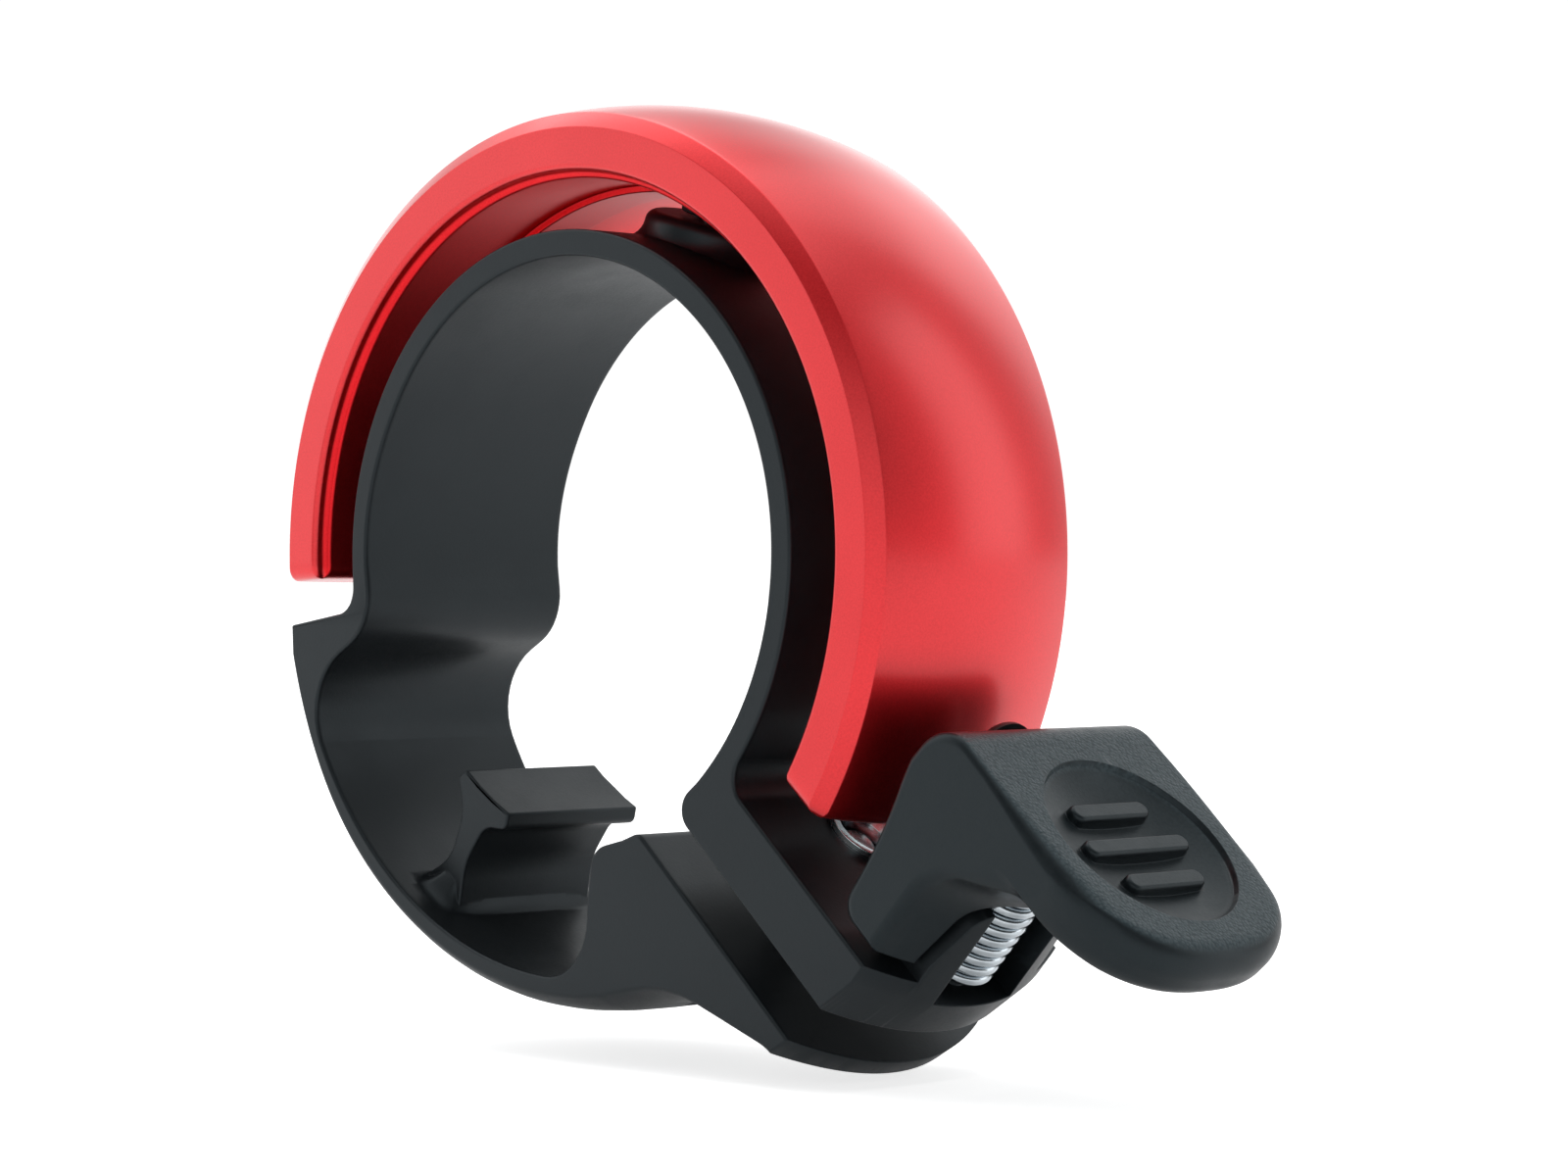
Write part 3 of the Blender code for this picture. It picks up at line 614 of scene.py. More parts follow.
def bright_steel():
    """Zinc-plated steel, finely marked and a little dulled."""
    m = Surface("bright_steel")
    marks = m.noise(size_mm=0.05)
    dull = m.noise(size_mm=0.8, detail=3.0, rough=0.6)
    color = m.mix(m.remap(dull, WIDE_TONES), low=(0.56, 0.58, 0.61), high=(0.70, 0.71, 0.73))
    rough = m.remap(dull, WIDE_TONES, to=(0.16, 0.30))
    normal = m.bump(marks, strength=0.10, depth_mm=0.006, normal=m.edges(radius_mm=0.06))
    return m.done(color, rough, normal, metallic=1.0)


def satin_steel():
    """Nickel-plated brass insert: bright, but softened by fine marks."""
    m = Surface("satin_steel")
    marks = m.noise(size_mm=0.09)
    dull = m.noise(size_mm=0.7, detail=3.0, rough=0.6, offset=(2, 2, 5))
    color = m.mix(m.remap(dull, WIDE_TONES), low=(0.76, 0.86, 0.89), high=(0.84, 0.94, 0.97))
    rough = m.remap(dull, WIDE_TONES, to=(0.20, 0.28))
    return m.done(color, rough, m.bump(marks, strength=0.10, depth_mm=0.005), metallic=1.0)


def spring_wire():
    """Bright drawn wire, finely marked, with a patchy grey film."""
    m = Surface("zinc_spring")
    marks = m.noise(size_mm=0.10, rough=0.55)
    film = m.noise(size_mm=0.9)
    color = m.mix(m.remap(film, WIDE_TONES), low=(0.58, 0.63, 0.67), high=(0.74, 0.80, 0.84))
    rough = m.remap(marks, WIDE_TONES, to=(0.12, 0.22))
    return m.done(color, rough, m.bump(marks, strength=0.12, depth_mm=0.005), metallic=1.0)


def black_rubber():
    m = Surface("black_rubber")
    grain = m.noise(size_mm=0.12, detail=3.0, rough=0.6)
    color = m.mix(grain, low=(0.010, 0.010, 0.010), high=(0.018, 0.018, 0.018))
    rough = m.remap(grain, WIDE_TONES, to=(0.62, 0.82))
    return m.done(color, rough, m.bump(grain, strength=0.3, depth_mm=0.02), IOR=1.5)


def black_acetal():
    m = Surface("black_acetal")
    grain = m.noise(size_mm=0.20)
    color = m.mix(grain, low=(0.010, 0.0105, 0.011), high=(0.015, 0.016, 0.017))
    rough = m.remap(grain, WIDE_TONES, to=(0.26, 0.38))
    return m.done(color, rough, m.bump(grain, strength=0.12, depth_mm=0.01), IOR=1.48)


# ---------------------------------------------------------------- bracket
# The saddle between the two bands: angle, radius, fillet.
SADDLE = (
    (229.3, BORE_R, 0.15), (234.0, BORE_R, 0), (239.0, BORE_R, 0), (244.5, BORE_R, 0.15),
    (245.2, 16.95, 0.5), (239.7, 17.70, 1.3), (238.7, 20.4, 3.5), (241.4, 23.3, 0),
    (232.0, 23.3, 0), (235.3, 20.8, 2.6), (233.6, 18.0, 3.0), (228.3, 16.75, 0.35),
)
# The bell's boss: radius, distance from the bar's axis, fillet.
BOSS = [
    (0.0, 16.45, 0), (5.6, 16.45, 0), (5.6, 16.56, 0), (BOSS_R + 0.1, 17.3, 1.3),
    (BOSS_R, BOSS_TOP_R, 0.6), (0.0, BOSS_TOP_R, 0),
]
# Turned shapes on the bracket: radius, then up or distance from the bar's axis.
SPRING_PEG = [(0, -2.2), (1.15, -2.2), (1.15, 0.4), (0.85, 0.8), (0, 0.8)]
CLAMP_HOLE = [
    (0, -17.0), (2.95, -17.0), (2.95, -9.0), (1.6, -9.0), (1.6, -5.4),
    (2.05, -5.4), (2.05, -1.1), (2.35, -1.1), (2.35, 1.5), (0, 1.5),
]
BOSS_HOLE = [(0, 14.5), (2.65, 14.5), (2.65, 17.45), (1.6, 17.45), (1.6, 19.6), (0, 19.6)]
# Cuts at the jaws' ends: lowest up, highest up, reach along, up where the slope starts, slope.
JAW_CUTS = (
    (-5.5, 7.0, JAW_END, -1.5, 0.26),
    (-11.5, -5.5, LOW_JAW_END, -6.95, 0.32),
)


def far_ease(angle):
    return FAR_EASE * smooth((angle - 148.0) / 30.0)


def lip_thinning(angle):
    return -LIP_THIN * (1 - smooth((angle - 194.0) / 30.0))


def jaw_angle(up, radius):
    """The angle at which a jaw face at a height up meets a circle round the bar."""
    return -JAW_TILT - math.degrees(math.asin(-up / radius))


def bracket_outline():
    """The band, flexing leg, lower band and jaws at the bracket's flat sides."""
    tip = jaw_angle(JAW_LOW_UP, BORE_R)
    root = jaw_angle(JAW_TOP_UP, BAND_R)
    low_tip = jaw_angle(LOW_JAW_TOP_UP, BORE_R)
    low_bore = BORE_R + 0.05
    return fillet([
        # The upper jaw and the band's outside
        corner(polar(tip, BORE_R), 1.25),
        corner(jaw(JAW_STOCK_END, JAW_LOW_UP)),
        corner(jaw(JAW_STOCK_END, JAW_TOP_UP)),
        *arc(BAND_R, root, 184.2, ease=lambda angle: 0.35 * far_ease(angle), first_fillet=1.5),
        # The lower band's lip and outside
        corner((-17.40, -3.18), 1.5),
        corner((-22.98, -4.05), 0.12),
        *arc(LOWER_OUT_R, 194.0, 278.0, ease=lip_thinning),
        # The lower jaw
        corner((8.03, -22.62), 9.0),
        corner(jaw(LOW_JAW_START, -8.42), 3.0),
        corner(jaw(JAW_STOCK_END, LOW_JAW_END_UP + 0.25)),
        corner(jaw(JAW_STOCK_END, LOW_JAW_TOP_UP - 0.1)),
        corner(polar(low_tip, low_bore), 0.7),
        corner(polar(low_tip - 5, low_bore)),
        corner(polar(-80.8, low_bore), 1.4),
        corner((2.15, -19.0)),
        # Back along the lower band's inside, and round the bore
        corner((2.0, -22.86), 3.6),
        *arc(LOWER_IN_R, 272.0, 204.0),
        corner((-21.80, -7.45), 4.0),
        corner((-15.85, -4.00), 3.2),
        *arc(BORE_R, 182.0, tip + 8.0, ease=far_ease),
    ])


def swell(angle):
    return 1.2 * smooth((angle - 190.0) / 45.0) - 0.2 * smooth((angle - 240.0) / 38.0)


def crowned(outline, y):
    """The outline at y, with the lower band's outside swelled out to its crown."""
    crown = LOWER_CROWN * (1 - abs(y / BAND_HALF_W) ** 6)
    swelled = []
    for point in outline:
        radius = point.length
        angle = math.degrees(math.atan2(point.y, point.x)) % 360.0
        along = jaw_along(point.x, point.y)
        jaw_share = smooth((LOW_JAW_START - along) / LOW_JAW_BLEND)
        if radius > 23.25 and 190.0 < angle < 322.0:
            share = swell(angle) if angle <= 278.0 else jaw_share
            point = point + point.normalized() * crown * share
        elif angle > 270.0 and radius > 20.0 and along > 10.0 and point.y < -20.5:
            point = point + point.normalized() * crown * jaw_share
        swelled.append(point)
    return swelled


def saddle_foot():
    """The saddle's base, flaring out all round into the lower band, as rings."""
    rings = []
    rows, count = 7 * FINE, 36 * FINE
    middle = math.radians(237.05)
    for i in range(rows + 1):
        share = i / rows
        radius = 20.7 + 2.28 * share
        grow = 1 - math.sqrt(max(0.0, 1 - (0.985 * share) ** 2))
        half_thick, half_wide = 0.66 + 2.6 * grow, SADDLE_HALF_W - 0.10 + 1.6 * grow
        power = 2 / (9.0 - 5.5 * share)
        ring = []
        for k in range(count):
            turn = math.tau * k / count
            cosine, sine = math.cos(turn), math.sin(turn)
            side = half_thick * math.copysign(abs(cosine) ** power, cosine)
            y = half_wide * math.copysign(abs(sine) ** power, sine)
            x = radius * math.cos(middle) - side * math.sin(middle)
            z = radius * math.sin(middle) + side * math.cos(middle)
            ring.append(Vector((x, y, z)))
        rings.append(ring)
    return rings


def tower_outline(side):
    """One of the two posts beside the spring, as (y, up)."""
    return fillet([
        corner((side * TOWER_STOCK_IN, -1.0)),
        corner((side * TOWER_OUT, -1.0)),
        corner((side * TOWER_OUT, 0.8)),
        corner((side * (TOWER_OUT - 0.95), TOWER_TOP_UP), 1.25),
        corner((side * TOWER_STOCK_IN, TOWER_TOP_UP)),
    ])


def jaw_end_cutter(low, high, reach, slope_up, slope):
    """Stock beyond a jaw's end, which is curved across y and slopes back below slope_up."""
    across = [-9.0 + 18.0 * i / 72 for i in range(73)]
    rings = []
    for up in (low, slope_up, high):
        lean = slope * max(0.0, slope_up - up)
        line = [(reach - lean - JAW_END_CURVE * y * y, y) for y in across]
        rings.append([jaw3(along, up, y) for along, y in line + [(41.0, 9.0), (41.0, -9.0)]])
    return loft(rings)


def window_cutter():
    """Opens the space between the towers."""
    corners = ((WINDOW_BACK, WINDOW_FLOOR_UP), (37.0, WINDOW_FLOOR_UP), (37.0, 6.5), (WINDOW_BACK, 6.5))
    return loft([[jaw3(along, up, y) for along, up in corners] for y in (-TOWER_IN, TOWER_IN)])


def make_bracket(material):
    base, saddle = bracket_outline(), fillet([corner(polar(a, r), f) for a, r, f in SADDLE])
    stations = side_stations(
        BAND_HALF_W, BRACKET_EDGE, between=(0.955, 0.92, 0.87, 0.80, 0.70, 0.55, 0.3)
    )
    bracket = as_object("bracket_moulding", plate(lambda y: crowned(base, y), stations))
    join(bracket, plate(lambda y: saddle, side_stations(SADDLE_HALF_W, SADDLE_EDGE)))
    join(bracket, loft(saddle_foot()))
    join(bracket, turned(rounded_profile(BOSS), CENTRE, BOSS_AXIS, 96))
    for side in (-1, 1):
        join(bracket, jaw_bar(tower_outline(side), TOWER_BACK, JAW_STOCK_END - 1))
    for jaw_cut in JAW_CUTS:
        cut(bracket, jaw_end_cutter(*jaw_cut))
    cut(bracket, window_cutter())
    join(bracket, turned(SPRING_PEG, SPRING_AT, JAW_UP, 48))
    cut(bracket, turned(CLAMP_HOLE, CLAMP_AT, JAW_UP, 72))
    cut(bracket, turned(BOSS_HOLE, CENTRE, BOSS_AXIS, 64))
    soften(bracket, width=0.10)
    dress(bracket, material, "bracket", "black_nylon", "mounting_bracket")


# ---------------------------------------------------------------- bell
# The screw hole: radius, distance from the bar's axis.
BELL_HOLE = [(0, 19.0), (1.7, 19.0), (1.7, 19.75), (1.5, 19.95), (1.5, 22.9), (0, 22.9)]


def crown_radius(y):
    return BELL_CROWN_R - BELL_CURVE_R + math.sqrt(BELL_CURVE_R**2 - y * y)


def bell_section():
    """The ring's section as (radius, y)."""
    path = [corner((BELL_IN_R, -BELL_HALF_W), 0.33), corner((BELL_FACE_R, -BELL_HALF_W), 0.09)]
    count = 24 * FINE
    for i in range(count + 1):
        y = -BELL_EDGE_Y + 2 * BELL_EDGE_Y * i / count
        path.append(corner((crown_radius(y), y), 0.16 if i in (0, count) else 0.0))
    path += [corner((BELL_FACE_R, BELL_HALF_W), 0.09), corner((BELL_IN_R, BELL_HALF_W), 0.33)]
    inner = [
        corner((BELL_IN_R, BELL_SHOULDER_Y), 0.30),
        corner((BELL_SEAT_R, BELL_SHOULDER_Y - 0.05), 0.25),
        corner((BELL_SEAT_R, BELL_RIB_HALF_W + 0.02), 0.1),
        corner((BELL_RIB_R, BELL_RIB_HALF_W - 0.02), 0.1),
    ]
    return fillet(path + inner + [corner((r, -y), f) for r, y, f, _ in reversed(inner)])


def bell_core(point):
    """The point of the section's core that a point closes in on at the rounded tips."""
    outer = crown_radius(min(abs(point.y), BELL_EDGE_Y))
    return Vector((
        min(max(point.x, BELL_SEAT_R + BELL_TIP), outer - BELL_TIP),
        min(max(point.y, -BELL_HALF_W + BELL_TIP), BELL_HALF_W - BELL_TIP),
    ))


def bell_stations():
    """(angle, how far the section has closed in on its core) round the ring."""
    tip = []
    for k in range(7):
        turn = math.pi / 2 * k / 6
        angle = math.degrees(BELL_TIP * (1 - math.cos(turn)) / BELL_TIP_AT_R)
        tip.append((angle, 1 - math.sin(turn)))
    steps = 110 * FINE
    first = BELL_START + tip[-1][0]
    last = BELL_END - tip[-1][0]
    stations = [(BELL_START + angle, closing) for angle, closing in tip]
    stations += [(first + (last - first) * i / steps, 0.0) for i in range(1, steps)]
    return stations + [(BELL_END - angle, closing) for angle, closing in reversed(tip)]


def make_bell(material):
    section = bell_section()
    rings = []
    for angle, closing in bell_stations():
        lean = BELL_LEAN * max(0.0, 1 - (angle - BELL_START) / BELL_LEAN_SPAN)
        ring = []
        for point in section:
            radius, y = point.lerp(bell_core(point), closing)
            turn = math.radians(angle) - lean * (radius - BELL_IN_R) / radius
            ring.append(Vector((radius * math.cos(turn), y, radius * math.sin(turn))))
        rings.append(ring)
    bell = as_object("bell_ring", loft(rings))
    cut(bell, turned(BELL_HOLE, CENTRE, BOSS_AXIS, 48))
    soften(bell, sharp=60.0)

    def hollow(place, _):
        inside = math.hypot(place.x, place.z) < BELL_IN_R - 0.02
        return 1.0 if inside and abs(place.y) < BELL_HALF_W - 0.02 else 0.0

    paint(bell, "hollow", hollow)
    dress(bell, material, "bracket", "red_anodised", "bell_shell")


# ---------------------------------------------------------------- lever
# The spring's pocket and peg under the lever: radius, up.
SPRING_POCKET = [(0, 4.0), (2.4, 4.0), (2.4, 6.7), (0, 6.7)]
LEVER_PEG = [(0, 4.3), (0.85, 4.3), (1.15, 4.7), (1.15, 7.6), (0, 7.6)]
# Three bars across the dish: offset along, half length. Their section: up from top, half width.
DISH_BARS = ((-2.4, 2.3), (0.0, 3.3), (2.4, 2.3))
BAR_SECTION = ((-1.7, 0.66), (-0.55, 0.56), (-0.42, 0.53), (-0.33, 0.46), (-0.29, 0.37))


def paddle_reach(y):
    side = min(1.0, abs(y) / LEVER_HALF_W)
    return PADDLE_STRAIGHT + (PADDLE_END - PADDLE_STRAIGHT) * (1 - side**2.5) ** (1 / 2.2)


def widen(along, up):
    """The lever's cheeks spread a little towards the paddle's top."""
    return 0.985 + 0.045 * smooth((along - 27.0) / 9.0) * smooth((up - 8.4) / 4.0)


def top_edge(along):
    """The radius of the top side edges: crisp at the back, soft round the paddle."""
    return LEVER_EDGE + 0.60 * smooth((along - 29.5) / 8.0) + 0.9 * smooth((along - 37.0) / 4.5)


def lever_section(y):
    """The lever's outline at y, as (along, up)."""
    edge = LEVER_HALF_W - abs(y)
    back = round_in(edge, LEVER_EDGE)
    foot = JAW_END - 0.4 - JAW_END_CURVE * y * y
    end = paddle_reach(y) - 0.55 * round_in(edge, 1.6)
    steps = 2 * FINE
    under = LEVER_UNDER_UP + 0.6 * back
    curl = end - 0.35 - (foot - back + 5.0)
    lip = LEVER_TOP_UP - round_in(edge, top_edge(end))
    path = [
        corner((27.35 + back, LEVER_FOOT_UP + back), 1.2, 4 * steps),
        corner((foot - back, LEVER_FOOT_UP + back), 0.12, steps),
        corner((foot - back + 0.02, 6.1), min(6.0, 3.2 + 0.35 * curl), 6 * steps),
        corner(
            (foot - back + min(5.0, 0.62 * (end - foot)), under - 0.02),
            min(4.0, max(0.4, 0.9 * curl)),
            3 * steps,
        ),
        corner((end - 0.35, under), min(1.2, 0.43 * (lip - under)), 4 * steps),
        corner((end, lip), 0.46 * (lip - under), 6 * steps),
    ]
    rows = 8
    for i in range(rows):
        along = (end - 2.6) + (29.0 - (end - 2.6)) * i / (rows - 1)
        path.append(corner((along, LEVER_TOP_UP - round_in(edge, top_edge(along)))))
    path.append(corner((26.0 + back, LEVER_TOP_UP - back), 2.3, 6 * steps))
    path.append(corner((25.76 + back, 9.4), 0.7, 3 * steps))
    for up in (8.3, 7.35, 6.4, 5.4, 4.4, 3.5, 2.6):
        path.append(corner((math.sqrt(LEVER_BACK_R**2 - up * up) + back, up)))
    return fillet(path)


def arch_outline():
    """The opening through the lever that clears the towers, as (y, up)."""
    return fillet([
        corner((-ARCH_HALF_W, -1.2)),
        corner((ARCH_HALF_W, -1.2)),
        corner((ARCH_HALF_W, 0.8), 1.2),
        corner((ARCH_HALF_W - 0.9, ARCH_TOP_UP - 0.3), 2.3),
        corner((0.0, ARCH_TOP_UP), 6.0),
        corner((0.9 - ARCH_HALF_W, ARCH_TOP_UP - 0.3), 2.3),
        corner((-ARCH_HALF_W, 0.8), 1.2),
    ])


def dish_profile():
    """A shallow bowl whose rim is a short steep step."""
    floor = LEVER_TOP_UP - DISH_DEPTH
    profile = [(0, floor)]
    rows = 10 * FINE
    for i in range(1, rows + 1):
        rise = (DISH_DEPTH - DISH_STEP) * (i / rows) ** DISH_POWER
        profile.append(((DISH_R - 0.14) * i / rows, floor + rise))
    above = LEVER_TOP_UP + 0.3
    return profile + [(DISH_R, LEVER_TOP_UP), (DISH_R + 0.12, above), (0, above)]


def dish_bar(offset, half_length):
    """A round-ended bar across the dish."""
    rings = []
    for up, half_width in BAR_SECTION:
        ring = []
        for k in range(40):
            turn = math.pi / 2 - math.pi * (k % 20) / 19 + (math.pi if k > 19 else 0.0)
            shift = half_length if k < 20 else -half_length
            along = DISH_ALONG + offset + half_width * math.sin(turn)
            ring.append(jaw3(along, LEVER_TOP_UP + up, shift + half_width * math.cos(turn)))
        rings.append(ring)
    return loft(rings)


def thumb_grain_and_highlight(place, normal):
    """The share of pebbled grain and of the painted highlight: full on the paddle's upward faces, faint
    in the dish.
    """
    up = JAW_SIN * place.x + JAW_COS * place.z
    along = jaw_along(place.x, place.z)
    outside = smooth((math.hypot(along - DISH_ALONG, place.y) - DISH_R + 0.4) / 0.4)
    facing = smooth((normal.dot(JAW_UP) - 0.80) / 0.17)
    return facing * smooth((up - 10.5) / 0.6) * (0.2 + 0.8 * outside)


def make_lever(material):
    count = 40 * FINE
    rings = []
    for i in range(count + 1):
        y = LEVER_HALF_W * math.sin(math.pi / 2 * (-1 + 2 * i / count))
        rings.append([jaw3(along, up, y * widen(along, up)) for along, up in lever_section(y)])
    lever = as_object("thumb_lever", loft(rings))
    cut(lever, jaw_bar(arch_outline(), ARCH_BACK, 39.0))
    cut(lever, turned(SPRING_POCKET, SPRING_AT, JAW_UP, 64))
    join(lever, turned(LEVER_PEG, SPRING_AT, JAW_UP, 48))
    cut(lever, turned(dish_profile(), jaw3(DISH_ALONG, 0), JAW_UP, 160))
    bore = HAMMER_DOME_R + 0.25
    seat = [(0, 24.0), (bore, 24.0), (bore, 27.65), (1.5, 27.65), (1.5, 29.6), (0, 29.6)]
    cut(lever, turned(seat, CENTRE, HAMMER_AXIS, 72))
    for offset, half_length in DISH_BARS:
        join(lever, dish_bar(offset, half_length))
    soften(lever, width=0.09)
    # The "grain" attribute carries both the pebbled grain and the mask of the painted highlight on the
    # top.
    paint(lever, "grain", thumb_grain_and_highlight)
    dress(lever, material, "striker", "black_grip", "striker_lever")


# ---------------------------------------------------------------- hammer and spring
def make_hammer(material):
    profile = [(0.0, HAMMER_TIP_R)]
    for i in range(1, 13):
        turn = math.radians(7.5 * i)
        height = HAMMER_TIP_R + HAMMER_DOME_RISE * (1 - math.cos(turn))
        profile.append((HAMMER_DOME_R * math.sin(turn), height))
    back = HAMMER_TIP_R + 1.1
    profile += [(HAMMER_DOME_R, back), (HAMMER_STEM_R, back)]
    profile += [(HAMMER_STEM_R, 29.2), (1.1, 29.3), (0.0, 29.3)]
    hammer = as_object("hammer_button", turned(profile, CENTRE, HAMMER_AXIS, 96))
    soften(hammer, sharp=50.0)
    dress(hammer, material, "striker", "black_acetal", "striker_hammer_tip")


def make_spring(material):
    per_turn, sides = 36 * FINE, 8 * FINE
    steps = int(SPRING_TURNS * per_turn)
    height = SPRING_HIGH - SPRING_LOW - 2 * SPRING_WIRE_R
    end_steps = 6
    rings = []
    for i in range(-end_steps, steps + end_steps + 1):
        share = min(1.0, max(0.0, i / steps))
        turn = math.tau * SPRING_TURNS * i / steps + SPRING_START_TURN
        up = SPRING_LOW + SPRING_WIRE_R + height * share
        # The cut ends of the wire are rounded off.
        over = max(0.0, -i, i - steps) / end_steps
        wire = SPRING_WIRE_R * math.sqrt(max(0.02, 1 - over * over))
        ring = []
        for k in range(sides):
            around = math.tau * k / sides
            radius = SPRING_MEAN_R + wire * math.cos(around)
            along = SPRING_ALONG + math.cos(turn) * radius
            ring.append(jaw3(along, up + wire * math.sin(around), math.sin(turn) * radius))
        rings.append(ring)
    spring = as_object("striker_coil", loft(rings))
    spring.data.shade_smooth()
    spring.data.materials.append(material)
    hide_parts("striker_spring")
    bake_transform(spring)


# ---------------------------------------------------------------- hardware
# Profiles: radius, height along the axis, fillet.
CLAMP_BOLT = [
    (0, -11.6, 0), (2.25, -11.6, 0.1), (2.6, -11.25, 0.2), (2.6, -9.8, 0.15),
    (1.25, -9.8, 0.08), (1.25, -1.4, 0.05), (0.95, -1.1, 0.05), (0, -1.1, 0),
]
BOLT_WASHER = [(1.6, -9.65, 0.08), (2.75, -9.65, 0.12), (2.75, -9.15, 0.12), (1.6, -9.15, 0.08)]
INSERT = [
    (1.42, -3.9, 0.1), (1.85, -3.9, 0.1), (1.85, -0.9, 0), (2.32, -0.9, 0),
    (2.32, 0.06, 0.06), (1.92, 0.06, 0.05), (1.42, -0.66, 0.10),
]
BELL_BOLT = [
    (0, 16.2, 0), (2.0, 16.2, 0.2), (2.35, 16.5, 0.2), (2.35, 17.2, 0.1),
    (1.25, 17.2, 0.08), (1.25, 22.3, 0.05), (1.0, 22.55, 0.05), (0, 22.55, 0),
]
RUBBER_PAD = [(1.55, 18.9, 0.1), (2.3, 18.9, 0.15), (2.3, 19.6, 0.15), (1.55, 19.6, 0.1)]
# A place for the hardware: origin, axis, steps round.
CLAMP_PLACE = (CLAMP_AT, JAW_UP, 96)
BOSS_PLACE = (CENTRE, BOSS_AXIS, 72)


def make_screw(name, profile, place, socket, *dressing):
    """A screw with a hexagonal socket, given as (across flats, low, high)."""
    screw = as_object(name, turned(rounded_profile(profile), *place))
    cut(screw, hexagon(*socket, *place[:2]))
    soften(screw, width=0.04, angle=40.0)
    dress(screw, *dressing)


def make_ring(name, profile, place, *dressing):
    ring = as_object(name, turned(closed_profile(profile), *place, closed=True))
    soften(ring, sharp=50.0)
    dress(ring, *dressing)


def make_hardware(steel, satin, rubber):
    make_screw("clamp_bolt", CLAMP_BOLT, CLAMP_PLACE, (2.5, -12.5, -10.4),
               steel, "clamp_screw", "bright_steel", "clamp_screw")
    make_ring("bolt_washer", BOLT_WASHER, CLAMP_PLACE,
              steel, "bracket", "bright_steel", "clamp_screw_washer")
    make_ring("threaded_insert", INSERT, CLAMP_PLACE,
              satin, "bracket", "bright_steel", "clamp_nut_insert")
    make_screw("bell_bolt", BELL_BOLT, BOSS_PLACE, (1.5, 15.5, 16.9),
               steel, "bracket", "bright_steel", "bell_mount_screw")
    make_ring("bell_rubber_pad", RUBBER_PAD, BOSS_PLACE,
              rubber, "bracket", "black_rubber", "bell_isolator_washer")


# ---------------------------------------------------------------- studio
ROOM, OVERHEAD = 0.30, 0.65  # world strength all round, and added overhead
OVERHEAD_SPAN = (0.74, 0.95)  # the z over which the overhead light comes in
# Soft boxes in the world: heading from +x towards +y and half width in degrees, soft edge in
# degrees, lowest and highest z, soft edge in z, gain. Sides are as the camera sees them.
PANELS = (
    (50.0, 4.0, 10.0, -0.42, 0.72, 0.08, 1.22),     # right: the streak down the crown
    (102.0, 12.0, 18.0, -0.40, 0.66, 0.18, 0.80),   # behind right: the crown's far edge
    (96.0, 9.0, 12.0, 0.56, 0.88, 0.09, 0.50),      # behind right, high: the crown's shoulder
    (141.0, 18.0, 22.0, -0.35, 0.37, 0.13, 0.95),   # behind, low: the inner band
    (152.0, 14.0, 22.0, 0.35, 0.75, 0.16, 0.30),    # behind, high: the top of the crown
    (-147.0, 6.0, 16.0, -0.55, 0.62, 0.20, 0.96),   # left: the flat faces
    (-58.0, 16.0, 22.0, -0.50, 0.50, 0.20, 0.50),   # front: the jaw ends
    (-165.0, 14.0, 22.0, 0.52, 0.90, 0.14, 0.95),   # behind left, high: the lever's top
    (-62.0, 18.0, 26.0, 0.36, 0.90, 0.16, -0.16),   # front, high, a dark flag: the chamfer
)


def make_camera(scene):
    camera = bpy.data.objects.new("camera", bpy.data.cameras.new("camera"))
    scene.collection.objects.link(camera)
    camera.data.lens = 92.43
    camera.data.sensor_width = 36.0
    camera.data.clip_start = 0.01
    camera.location = (Vector((160.70, -153.66, -1.90)) + HOME) * MM
    camera.rotation_euler = (math.radians(90), 0, math.radians(44.494))
    scene.camera = camera


def make_floor(scene):
    """A pale floor just under the CAD's lowest point, lit up more for the camera."""
    z = CAD_BOUNDS[0][2] - 0.0004
    size = 6.0
    mesh = bpy.data.meshes.new("floor")
    corners = [(-size, -size, z), (size, -size, z), (size, size, z), (-size, size, z)]
    mesh.from_pydata(corners, [], [(0, 1, 2, 3)])
    floor = bpy.data.objects.new("floor", mesh)
    scene.collection.objects.link(floor)
    m = Surface("pale_floor")
    cloud = m.noise(size_mm=40.0, detail=3.0)
    m.done(m.mix(cloud, low=(0.93, 0.93, 0.93), high=(0.95, 0.95, 0.95)), rough=0.9)
    seen = m.add("ShaderNodeLightPath").outputs["Is Camera Ray"]
    base_glow, camera_glow = 0.18, 0.53
    glow = m.math("ADD", m.math("MULTIPLY", seen, camera_glow), base_glow)
    m.link(glow, m.shader.inputs["Emission Strength"])
    m.shader.inputs["Emission Color"].default_value = (1, 1, 1, 1)
    m.shader.inputs["Specular IOR Level"].default_value = 0.0
    mesh.materials.append(m.material)


def background(graph, color, strength):
    node = graph.add("ShaderNodeBackground")
    node.inputs["Color"].default_value = color
    graph.put(node.inputs["Strength"], strength)
    return node.outputs["Background"]


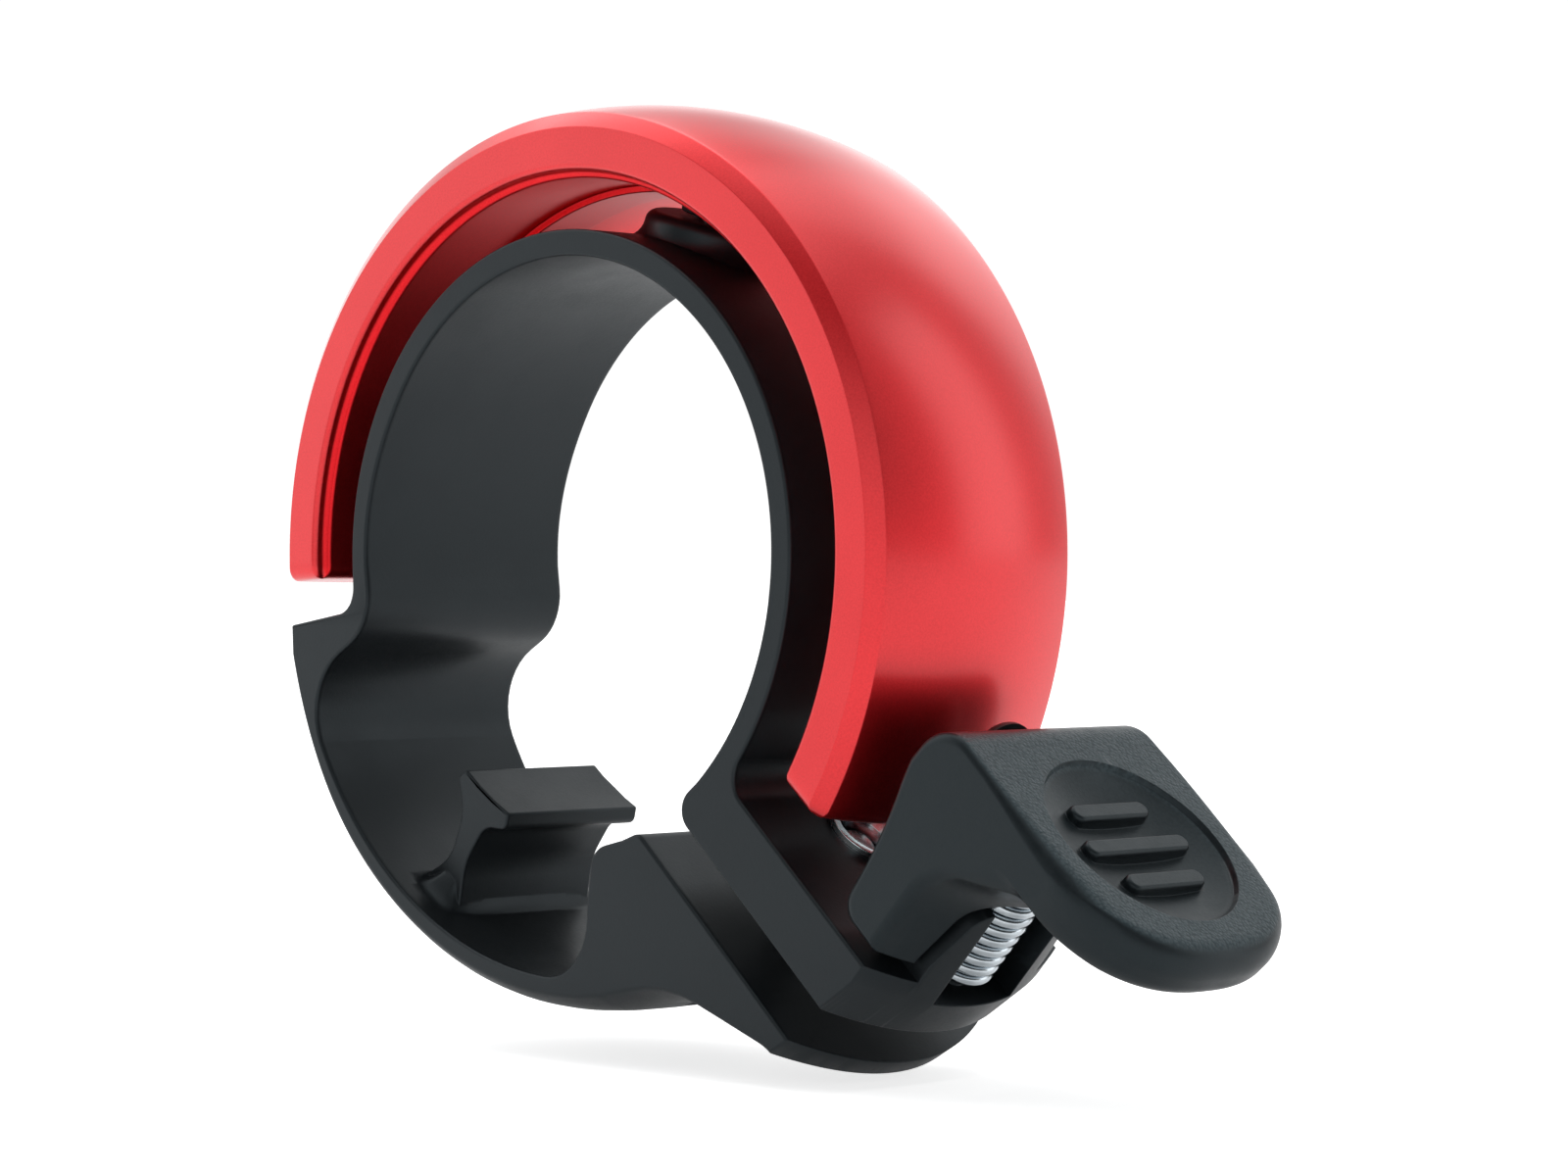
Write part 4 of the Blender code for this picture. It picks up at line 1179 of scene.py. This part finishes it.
def make_world(scene):
    """A room of soft boxes that the pieces reflect, and plain white for the camera."""
    world = bpy.data.worlds.new("studio")
    scene.world = world
    world.use_nodes = True
    world.node_tree.nodes.clear()
    graph = Graph(world.node_tree)
    out = graph.add("ShaderNodeOutputWorld")
    coords = graph.add("ShaderNodeTexCoord").outputs["Generated"]
    split = graph.add("ShaderNodeSeparateXYZ")
    graph.link(coords, split.inputs[0])
    z = split.outputs["Z"]
    flat = graph.add("ShaderNodeVectorMath", operation="MULTIPLY")
    graph.link(coords, flat.inputs[0])
    flat.inputs[1].default_value = (1, 1, 0)
    level = graph.add("ShaderNodeVectorMath", operation="NORMALIZE")
    graph.link(flat.outputs["Vector"], level.inputs[0])

    def ramp(value, low, high):
        return graph.remap(value, span=(low, high), interpolation_type="SMOOTHSTEP")

    total = None
    for heading, half, soft, z_low, z_high, z_soft, gain in PANELS:
        facing = graph.add("ShaderNodeVectorMath", operation="DOT_PRODUCT")
        graph.link(level.outputs["Vector"], facing.inputs[0])
        facing.inputs[1].default_value = (*polar(heading, 1.0), 0.0)
        wide, full = math.cos(math.radians(half + soft)), math.cos(math.radians(half))
        share = ramp(facing.outputs["Value"], wide, full)
        share = graph.math("MULTIPLY", share, ramp(z, z_low - z_soft, z_low + z_soft))
        below_top = graph.math("SUBTRACT", 1.0, ramp(z, z_high - z_soft, z_high + z_soft))
        share = graph.math("MULTIPLY", share, below_top)
        share = graph.math("MULTIPLY", share, gain)
        total = share if total is None else graph.math("ADD", total, share)
    overhead = graph.math("MULTIPLY", ramp(z, *OVERHEAD_SPAN), OVERHEAD)
    total = graph.math("ADD", graph.math("ADD", total, overhead), ROOM)
    light = background(graph, color=(0.985, 0.995, 1.0, 1.0), strength=total)
    white = background(graph, color=(1, 1, 1, 1), strength=1.05)
    mix = graph.add("ShaderNodeMixShader")
    seen = graph.add("ShaderNodeLightPath").outputs["Is Camera Ray"]
    for socket, source in zip(mix.inputs, (seen, light, white)):
        graph.link(source, socket)
    graph.link(mix.outputs["Shader"], out.inputs["Surface"])


def make_key_light(scene):
    data = bpy.data.lights.new("key", "AREA")
    data.shape = "RECTANGLE"
    data.size = data.size_y = 0.45
    data.energy = 0.7
    lamp = bpy.data.objects.new("key", data)
    place = Vector((-0.30, 0.10, 0.55))
    lamp.location = place
    lamp.rotation_euler = (-place).to_track_quat("-Z", "Y").to_euler()
    scene.collection.objects.link(lamp)


def make_studio():
    scene = bpy.context.scene
    scene.view_settings.view_transform = "Standard"
    scene.view_settings.look = "None"
    make_camera(scene)
    make_floor(scene)
    make_world(scene)
    make_key_light(scene)


# ---------------------------------------------------------------- build
steel = bright_steel()
make_bracket(black_nylon())
make_bell(red_anodised())
make_lever(grip_plastic())
make_hammer(black_acetal())
make_spring(spring_wire())
make_hardware(steel, satin_steel(), black_rubber())
make_studio()
